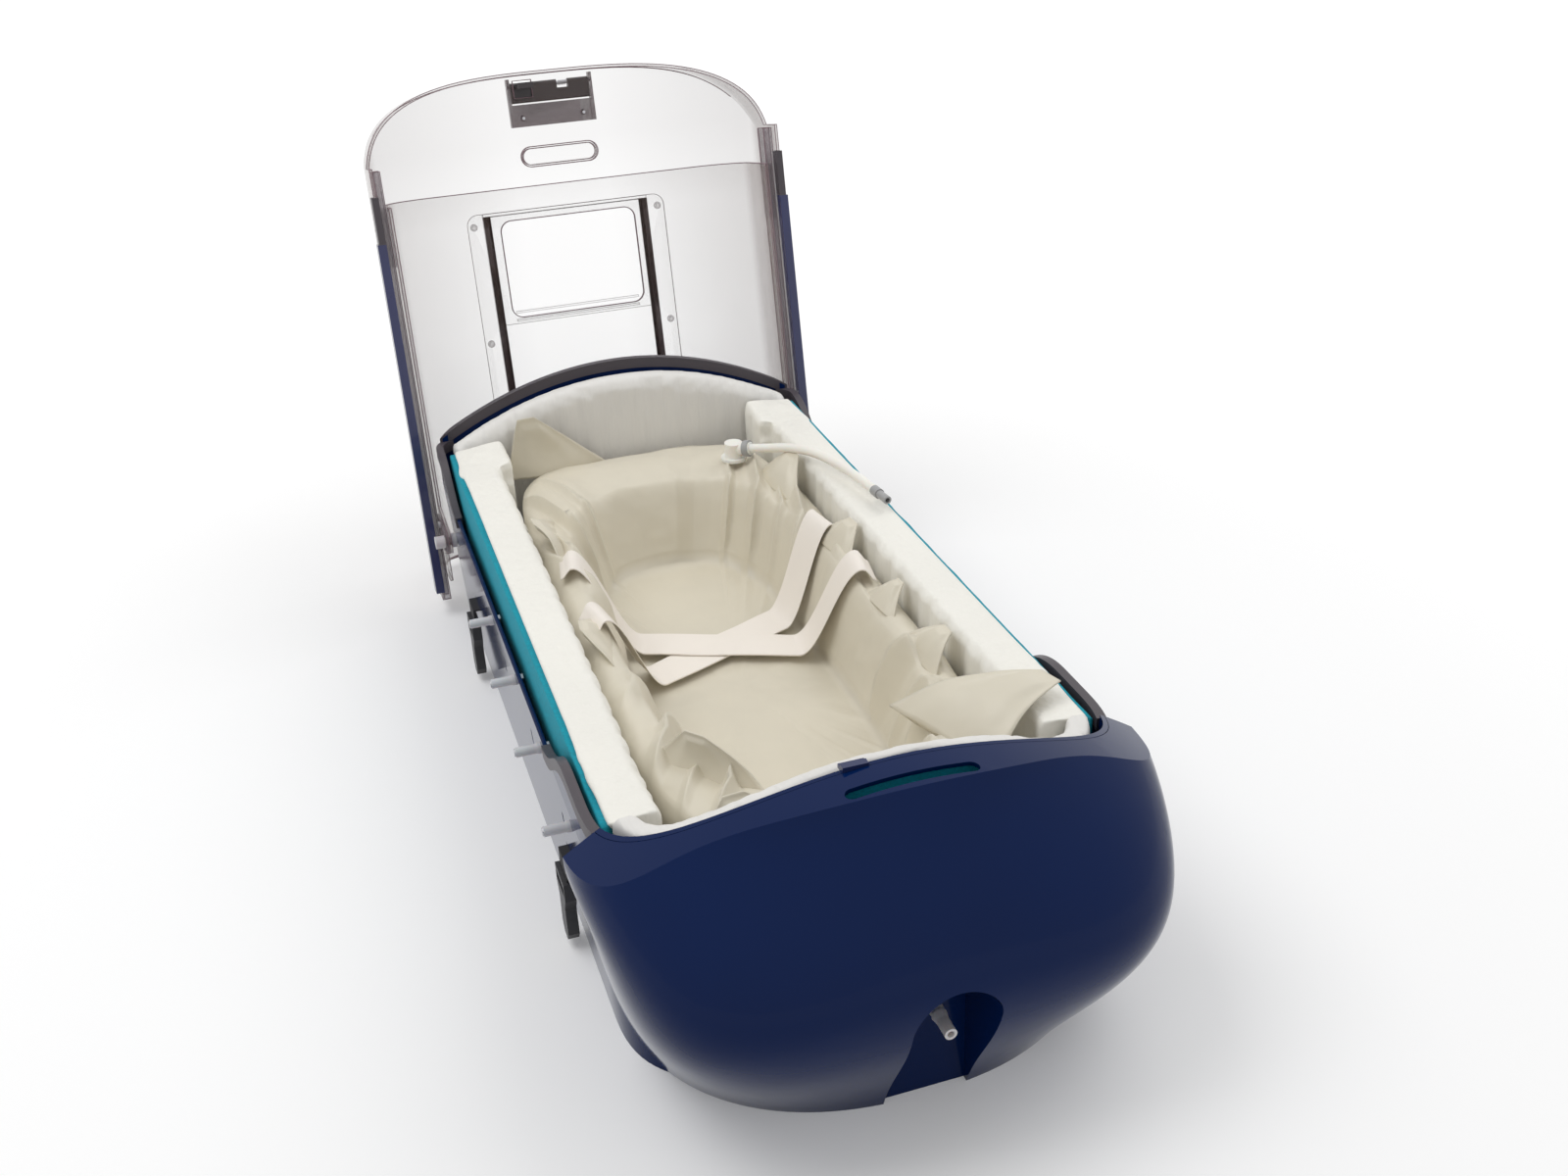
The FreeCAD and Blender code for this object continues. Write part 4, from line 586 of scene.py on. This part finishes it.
def bolster_folds(point, normal, side):
    """Upright wrinkles on the inner face, deepest below its top seam, and the seam itself."""
    inward = max(0.0, -side * normal.x)
    drop = smooth_step(0.05, 0.15, point.z) * (1 - smooth_step(0.182, 0.195, point.z))
    along = point.y + 0.006 * ripple((0.0, 0.0, point.z), 12.0, side)
    groove = crease(along, BOLSTER_WRINKLES, 0.005)
    seam = math.exp(-((point.z - BOLSTER_TOP + BOLSTER_SEAM) / 0.0028) ** 2)
    return -0.0028 * groove * inward * drop - 0.001 * seam * inward


def foot_pad(finish):
    """Padded board in the foot arch."""
    rings = []
    count = 74
    reach = FOOT_PAD_REACH - STUFFING
    low = (FOOT_PAD_FACE + STUFFING, SOFT_LOW + STUFFING)
    for step in range(count + 1):
        x = -reach + 2 * reach * step / count
        high = (FOOT_PAD_BACK - STUFFING, vault(x) - 0.003)
        ring = []
        for y, z in rounded_profile(low, high, 0.007, 11):
            half = side_half(z) - FOOT_PAD_CORE_GAP - STUFFING
            ring.append((max(-half, min(half, x)), y, z))
        rings.append(ring)
    return loft("foot_pad_cover", rings, finish)


def foot_pad_space(point):
    """Nearest place to a point inside the foot pad's own space."""
    half = side_half(point.z) - FOOT_PAD_GAP
    x = min(max(point.x, -half), half)
    y = min(max(point.y, FOOT_PAD_FACE), FOOT_PAD_BACK)
    return Vector((x, y, min(max(point.z, SOFT_LOW), vault(x) - 0.0025)))


def foot_pad_folds(point, normal):
    """Gathers that run down from the arch, spaced unevenly, and fade towards the mattress."""
    front = max(0.0, -normal.y)
    drop = smooth_step(0.1, 0.235, point.z)
    groove = crease(point.x + 0.02 * ripple((0.0, 0.0, point.z), 9.0), PAD_WRINKLES, 0.0044)
    return -0.0032 * groove * front * drop


def head_curve(inset, turn):
    """Point on the tub's round head end in plan, a given distance inside its rim."""
    across = math.cos(turn)
    reach = HEAD_ROUND_START - HEAD_END - inset
    x = math.copysign(abs(across) ** (2 / HEAD_POWER), across) * (RIM_HALF - inset)
    y = HEAD_ROUND_START - reach * abs(math.sin(turn)) ** (2 / HEAD_POWER)
    return x, y


def head_pad(finish):
    """Padded crescent inside the head end."""
    rings = []
    first = math.radians(HEAD_PAD_TURN)
    count = 120
    for step in range(count + 1):
        turn = first + (math.pi - 2 * first) * step / count
        outer = head_curve(HEAD_PAD_CORE_GAP, turn)
        inner = head_curve(HEAD_PAD_OUTSET + HEAD_PAD_THICK, turn)
        top = min(vault(outer[0]), vault(inner[0])) - PAD_BELOW_RIM + 0.002
        high = (HEAD_PAD_CORE, max(top, BOLSTER_TOP - 0.001))
        ring = []
        for across, z in rounded_profile((0.0, SOFT_LOW + STUFFING), high, 0.004, 8):
            share = across / HEAD_PAD_CORE
            x = outer[0] + (inner[0] - outer[0]) * share
            y = outer[1] + (inner[1] - outer[1]) * share
            ring.append((x, max(y, HEAD_END + HEAD_PAD_TIP), z))
        rings.append(ring)
    return loft("head_pad_cover", rings, finish)


def head_pad_space(point):
    """Nearest place inside the crescent between the tub's end and the mattress."""
    x = min(max(point.x, -HEAD_PAD_HALF), HEAD_PAD_HALF)
    across = min(1.0, abs(x) / (RIM_HALF - HEAD_PAD_GAP))
    round_part = (1 - across ** HEAD_POWER) ** (1 / HEAD_POWER)
    outer = HEAD_ROUND_START - (HEAD_ROUND_START - HEAD_END - HEAD_PAD_GAP) * round_part
    y = min(max(point.y, outer), HEAD_PAD_END)
    if abs(x) < MAT_HALF_X:
        y = min(y, MAT_CENTRE - MAT_HALF_Y - 0.0005)
    top = max(vault(x) - PAD_BELOW_RIM + 0.003, BOLSTER_TOP)
    return Vector((x, y, min(max(point.z, SOFT_LOW), top)))


def head_pad_folds(point, normal):
    """Shallow gathers on the crescent's inner face."""
    groove = crease(point.x, HEAD_WRINKLES, 0.005)
    return -0.0012 * groove * max(0.0, normal.y) * smooth_step(0.1, 0.22, point.z)


def as_shown(piece):
    """Mesh of a piece as its modifiers leave it."""
    graph = bpy.context.evaluated_depsgraph_get()
    return bpy.data.meshes.new_from_object(piece.evaluated_get(graph))


def stuff(pads):
    """Remeshes the pads evenly, blows them up as cloth, keeps each in its own space and adds its folds."""
    for piece, _, _ in pads:
        remesh = piece.modifiers.new("remesh", "REMESH")
        remesh.mode = "VOXEL"
        remesh.voxel_size = VOXEL
        even = as_shown(piece)
        piece.modifiers.clear()
        piece.data = even
    for piece, _, _ in pads:
        settings = piece.modifiers.new("cloth", "CLOTH").settings
        settings.use_pressure = True
        settings.uniform_pressure_force = AIR_PRESSURE
        settings.effector_weights.gravity = 0.0
    for step in range(1, CLOTH_STEPS + 1):
        bpy.context.scene.frame_set(step)
    for piece, space, folds in pads:
        swollen = as_shown(piece)
        piece.modifiers.clear()
        for before, after in zip(piece.data.vertices, swollen.vertices):
            shift = after.co - before.co
            if shift.length > SWELL_CAP:
                shift = shift.normalized() * SWELL_CAP
            after.co = space(before.co + shift)
        swollen.update()
        normals = [vertex.normal.copy() for vertex in swollen.vertices]
        for vertex, normal in zip(swollen.vertices, normals):
            vertex.co = vertex.co + normal * folds(vertex.co, normal)
        swollen.polygons.foreach_set("use_smooth", [True] * len(swollen.polygons))
        piece.data = swollen
        smooth = piece.modifiers.new("smooth", "SUBSURF")
        smooth.levels = 1
        smooth.render_levels = 1
    bpy.context.scene.frame_set(1)


def liner(side, finish):
    """Foam board between the bolster and the tub wall, with a slightly uneven cut edge."""
    rings = []
    count = 90
    low = (LINER_X[0] + 0.0002, LINER_LOW)
    for step in range(count + 1):
        y = LINER_SPAN[0] + (LINER_SPAN[1] - LINER_SPAN[0]) * step / count
        top = LINER_TOP + 0.0015 * noise.noise(Vector((y * 30, side, 0.0)))
        ring = []
        for x, z in rounded_profile(low, (LINER_X[1], top), 0.0016, 4):
            ring.append((side * (x + 0.0003 * noise.noise(Vector((y * 60, z * 60, side)))), y, z))
        rings.append(ring)
    return loft("foam_board_right" if side > 0 else "foam_board_left", rings, finish)


def base_mat(finish):
    """Firm mat under the vacuum mattress."""
    rings = []
    count = 40
    low = (-BASE_MAT_HALF, SOFT_LOW)
    for step in range(count + 1):
        y = BASE_MAT_START + BASE_MAT_LENGTH * step / count
        ends = math.sqrt(max(min(1.0, step / 2, (count - step) / 2), 0.2))
        profile = rounded_profile(low, (BASE_MAT_HALF, BASE_MAT_TOP), 0.008)
        rings.append([(x * ends, y, z) for x, z in profile])
    return loft("base_mat_cover", rings, finish)


def oval(centre_y, half_x, half_y, power, turn):
    """Point on a squarish oval in plan."""
    across = math.cos(turn)
    along = math.sin(turn)
    x = math.copysign(abs(across) ** (2 / power), across) * half_x
    y = centre_y + math.copysign(abs(along) ** (2 / power), along) * half_y
    return x, y


def fold_height(turn):
    """How strongly the fabric is gathered into a pleat at an angle round the cocoon, 0 to 1."""
    total = 0.0
    for place, size, width in PLEATS:
        gap = abs((turn - math.radians(place) + math.pi) % (2 * math.pi) - math.pi)
        total = max(total, size * max(0.0, 1 - gap / width) ** 1.3)
    return total


def mattress_point(kind, share, turn):
    """Point of the mattress: its band, how far along that band, and the angle round the cocoon."""
    fold = fold_height(turn + PLEAT_SLANT * share * (kind == "wall"))
    floor_x, floor_y = oval(COCOON_CENTRE, COCOON_HALF_X, COCOON_HALF_Y, COCOON_POWER, turn)
    mouth_y = COCOON_CENTRE + MOUTH_CENTRE_SHIFT
    rim_x, rim_y = oval(mouth_y, MOUTH_HALF_X, MOUTH_HALF_Y, MOUTH_POWER, turn)
    edge_x, edge_y = oval(MAT_CENTRE, MAT_HALF_X, MAT_HALF_Y, MAT_POWER, turn)
    sway = 0.004 * noise.noise(Vector((math.cos(turn) * 4, math.sin(turn) * 9, 2.0)))
    top = MAT_TOP - MOUTH_DROP + PLEAT_RISE * fold + sway
    if kind == "floor":
        x = floor_x * share
        y = COCOON_CENTRE + (floor_y - COCOON_CENTRE) * share
        z = COCOON_Z + 0.0024 * ripple((x, y, 0.0), 18.0) + 0.0014 * ripple((x, y, 0.0), 52.0)
        return x, y, z + 0.004 * fold * share ** 5
    if kind == "wall":
        inward = Vector((-floor_x, COCOON_CENTRE - floor_y, 0.0)).normalized()
        pull = PLEAT_PULL * fold * math.sin(math.pi * min(1.0, share * 0.85 + 0.1))
        x = floor_x + (rim_x - floor_x) * share + inward.x * pull
        y = floor_y + (rim_y - floor_y) * share + inward.y * pull
        z = COCOON_Z + 0.004 * fold + (top - COCOON_Z) * smooth_step(-0.25, 1.05, share)
        return x, y, z + 0.0016 * ripple((x, y, z), 26.0, 4.0) + 0.0008 * ripple((x, y, z), 70.0, 1.0)
    if kind == "over":
        x = rim_x + (edge_x - rim_x) * share
        y = rim_y + (edge_y - rim_y) * share
        crown = 0.004 * math.sin(math.pi * share)
        fall = (MAT_TOP - MAT_EDGE_DROP - top) * share ** 2.4
        return x, y, top + fall + crown + 0.002 * ripple((x, y, 0.0), 34.0, 7.0)
    return edge_x, edge_y, MAT_TOP - MAT_EDGE_DROP + (MAT_LOW - MAT_TOP + MAT_EDGE_DROP) * share


def vacuum_mattress(finish):
    """Mattress drawn up round the cocoon, with pleats that run up its walls to the rim."""
    count = 640
    turns = [2 * math.pi * index / count for index in range(count)]
    rings = []
    for kind, steps in MATTRESS_BANDS:
        for step in range(1, steps + 1):
            rings.append([mattress_point(kind, step / steps, turn) for turn in turns])
    return loft("vacuum_mattress_cover", rings, finish)


def mattress_flap(name, first, second, tip, lean, finish):
    """Loose corner of the mattress: a filled sheet with flat welded edges, from its root to a blunt tip."""
    first, second, tip = [Vector(corner) * MM for corner in (first, second, tip)]
    outward = (second - first).cross(tip - first).normalized()
    middle = (first + second) / 2
    rings = []
    for row in range(FLAP_ROWS + 1):
        rise = row / FLAP_ROWS
        bend = math.sin(math.pi * (0.1 + 0.75 * rise))
        upper = []
        lower = []
        for column in range(FLAP_COLUMNS + 1):
            share = column / FLAP_COLUMNS
            root = first.lerp(second, share)
            place = root.lerp(tip + (root - middle) * FLAP_TIP, rise)
            place += outward * lean * MM * bend
            place += outward * FLAP_WAVE * ripple(place, 24.0, lean)
            edge = min(share, 1 - share, (1 - rise) * 1.4)
            half = FLAP_WELD + FLAP_FILLING * smooth_step(0.07, 0.3, edge)
            upper.append(place + outward * half)
            lower.append(place - outward * half)
        rings.append(upper + lower[::-1])
    return loft(name, rings, finish)


def strap_height(x, lift):
    """Height of a strap over the cocoon at one distance across."""
    wall = smooth_step(STRAP_RISE[0], STRAP_RISE[1], abs(x))
    tuck = STRAP_TUCK_DEPTH * smooth_step(STRAP_TUCK[0], STRAP_TUCK[1], abs(x))
    return COCOON_Z + 0.005 + lift + (MAT_TOP + 0.006 - COCOON_Z) * wall - tuck


def strap(name, skew, lift, finish):
    """Soft strap that lies in the cocoon and runs up over its rim."""
    rings = []
    count = 90
    profile = rounded_profile((-STRAP_HALF, 0.0), (STRAP_HALF, STRAP_THICK), 0.0008, 3)
    for step in range(count + 1):
        x = -STRAP_REACH + 2 * STRAP_REACH * step / count
        y = STRAP_Y + skew * x
        z = strap_height(x, lift)
        ring = []
        for across, up in profile:
            height = z + up + 0.001 * ripple((x, across, 0.0), 30.0, skew)
            ring.append((x - across * skew * 0.4, y + across, height))
        rings.append(ring)
    return loft(name, rings, finish)


def hose(finish):
    """The hose's own smooth line."""
    made = curve_object("hose_line", "NURBS", [HOSE_ROUTE], HOSE_DIAMETER / 2, finish)
    spline = made.data.splines[0]
    spline.order_u = 3
    spline.use_endpoint_u = True
    spline.resolution_u = 16
    made.data.bevel_resolution = 6
    made.data.use_fill_caps = True
    return made


# Stage

def seen_directly(tree):
    """1 where the camera, gloss or glass sees the background, 0 where it only lights the object."""
    path = tree.nodes.new("ShaderNodeLightPath")
    total = path.outputs["Is Camera Ray"]
    for kind in ("Is Glossy Ray", "Is Transmission Ray"):
        total = maths(tree, "MAXIMUM", total, path.outputs[kind])
    return total


def world():
    """White world that lights the pod softly."""
    made = bpy.data.worlds.new("studio")
    bpy.context.scene.world = made
    made.use_nodes = True
    tree = made.node_tree
    background = tree.nodes["Background"]
    amount = ranged(tree, seen_directly(tree), (0.0, 1.0), (WORLD_LIGHT, 1.0))
    link(tree, amount, background.inputs["Strength"])
    background.inputs["Color"].default_value = (1.0, 1.0, 1.0, 1.0)


def floor():
    """White floor that keeps the soft shadow round the pod and fades into the background."""
    finish = material("floor", (240, 240, 240), 0.7, vary=0.004, spot=1.0, depth=0.0)
    tree = finish.node_tree
    shader = tree.nodes["Principled BSDF"]
    place = tree.nodes.new("ShaderNodeTexCoord")
    distance = tree.nodes.new("ShaderNodeVectorMath")
    distance.operation = "LENGTH"
    link(tree, place.outputs["Object"], distance.inputs[0])
    reach = tree.nodes.new("ShaderNodeMapRange")
    reach.interpolation_type = "SMOOTHSTEP"
    reach.inputs["From Min"].default_value = SHADOW_REACH[0]
    reach.inputs["From Max"].default_value = SHADOW_REACH[1]
    link(tree, distance.outputs["Value"], reach.inputs["Value"])
    far = reach.outputs["Result"]
    direct = seen_directly(tree)
    glow = maths(tree, "MULTIPLY", direct, ranged(tree, far, (0.0, 1.0), (FLOOR_LIFT, 1.0)))
    shader.inputs["Emission Color"].default_value = (1.0, 1.0, 1.0, 1.0)
    link(tree, glow, shader.inputs["Emission Strength"])
    fade = tree.nodes.new("ShaderNodeMixRGB")
    fade.inputs["Color2"].default_value = (0.0, 0.0, 0.0, 1.0)
    link(tree, maths(tree, "MULTIPLY", direct, far), fade.inputs["Fac"])
    link(tree, shader.inputs["Base Color"].links[0].from_socket, fade.inputs["Color1"])
    link(tree, fade.outputs["Color"], shader.inputs["Base Color"])
    half = FLOOR_HALF
    corners = [(-half, -half, 0), (half, -half, 0), (half, half, 0), (-half, half, 0)]
    mesh_object("floor", corners, [(0, 1, 2, 3)], finish)


def lamp(name, place, size, power):
    """Square soft light aimed at the pod."""
    data = bpy.data.lights.new(name, "AREA")
    data.shape = "SQUARE"
    data.size = size
    data.energy = power
    made = placed(name, data)
    made.location = place
    made.rotation_euler = (Vector(LAMP_AIM) - Vector(place)).to_track_quat("-Z", "Y").to_euler()


def camera():
    """Camera of the photograph's view."""
    place = Vector(CAMERA_PLACE)
    forward = (Vector(CAMERA_TARGET) - place).normalized()
    right = forward.cross(Vector((0, 0, 1))).normalized()
    up = right.cross(forward)
    turned_right = right * math.cos(CAMERA_ROLL) + up * math.sin(CAMERA_ROLL)
    turned_up = up * math.cos(CAMERA_ROLL) - right * math.sin(CAMERA_ROLL)
    data = bpy.data.cameras.new("camera")
    data.lens = CAMERA_LENS
    data.sensor_width = SENSOR
    made = placed("camera", data)
    turn = Matrix((turned_right, turned_up, -forward)).transposed()
    made.matrix_world = Matrix.Translation(place) @ turn.to_4x4()
    bpy.context.scene.camera = made


def dress(frame):
    """All pieces, materials and rides."""
    materials = make_materials()
    paint_nodes(frame, materials)
    cream = materials["cream"]
    pads = [
        (bolster(-1, cream), lambda p: bolster_space(p, -1), lambda p, n: bolster_folds(p, n, -1)),
        (bolster(1, cream), lambda p: bolster_space(p, 1), lambda p, n: bolster_folds(p, n, 1)),
        (foot_pad(materials["white"]), foot_pad_space, foot_pad_folds),
        (head_pad(materials["white"]), head_pad_space, head_pad_folds),
    ]
    stuff(pads)
    left_bolster, right_bolster, foot, head = [pad[0] for pad in pads]
    soft = [
        (left_bolster, ["bolster_left"], "cream_cover", 0.9),
        (right_bolster, ["bolster_right"], "cream_cover", 0.9),
        (foot, ["foot_pad"], "white_cover", 0.8),
        (head, ["head_pad"], "white_cover", 0.8),
        (base_mat(materials["white"]), ["base_mattress"], "white_cover", 0.9),
        (vacuum_mattress(materials["beige"]), ["vacuum_mattress"], "beige_mattress", 0.5),
        (liner(-1, materials["teal"]), ["foam_liner_left"], "teal_foam", 1.0),
        (liner(1, materials["teal"]), ["foam_liner_right"], "teal_foam", 1.0),
    ]
    for piece, replaced, finish, fill in soft:
        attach(piece, "pod")
        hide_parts(*replaced)
    for node, body, finish, half in EDGED:
        piece = edge_lines("cut_edges_" + node, frame["nodes"][node], materials[finish], half)
        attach(piece, body)
    for name, (first, second, tip, lean) in FLAPS.items():
        piece = mattress_flap("mattress_flap_" + name, first, second, tip, lean, materials["beige"])
        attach(piece, "pod")
    straps = [
        (strap("harness_cover_lower", STRAP_SKEW, 0.0, materials["webbing"]), "harness_strap_lower"),
        (strap("harness_cover_upper", -STRAP_SKEW, STRAP_OVERLAP, materials["webbing"]),
         "harness_strap_upper"),
    ]
    for piece, replaced in straps:
        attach(piece, "pod")
        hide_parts(replaced)
    line = hose(materials["hose"])
    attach(line, "pod")
    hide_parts("vacuum_hose")


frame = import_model()
bpy.context.scene.view_settings.view_transform = "Standard"
world()
floor()
camera()
for name, place, size, power in LAMPS:
    lamp(name, place, size, power)
dress(frame)
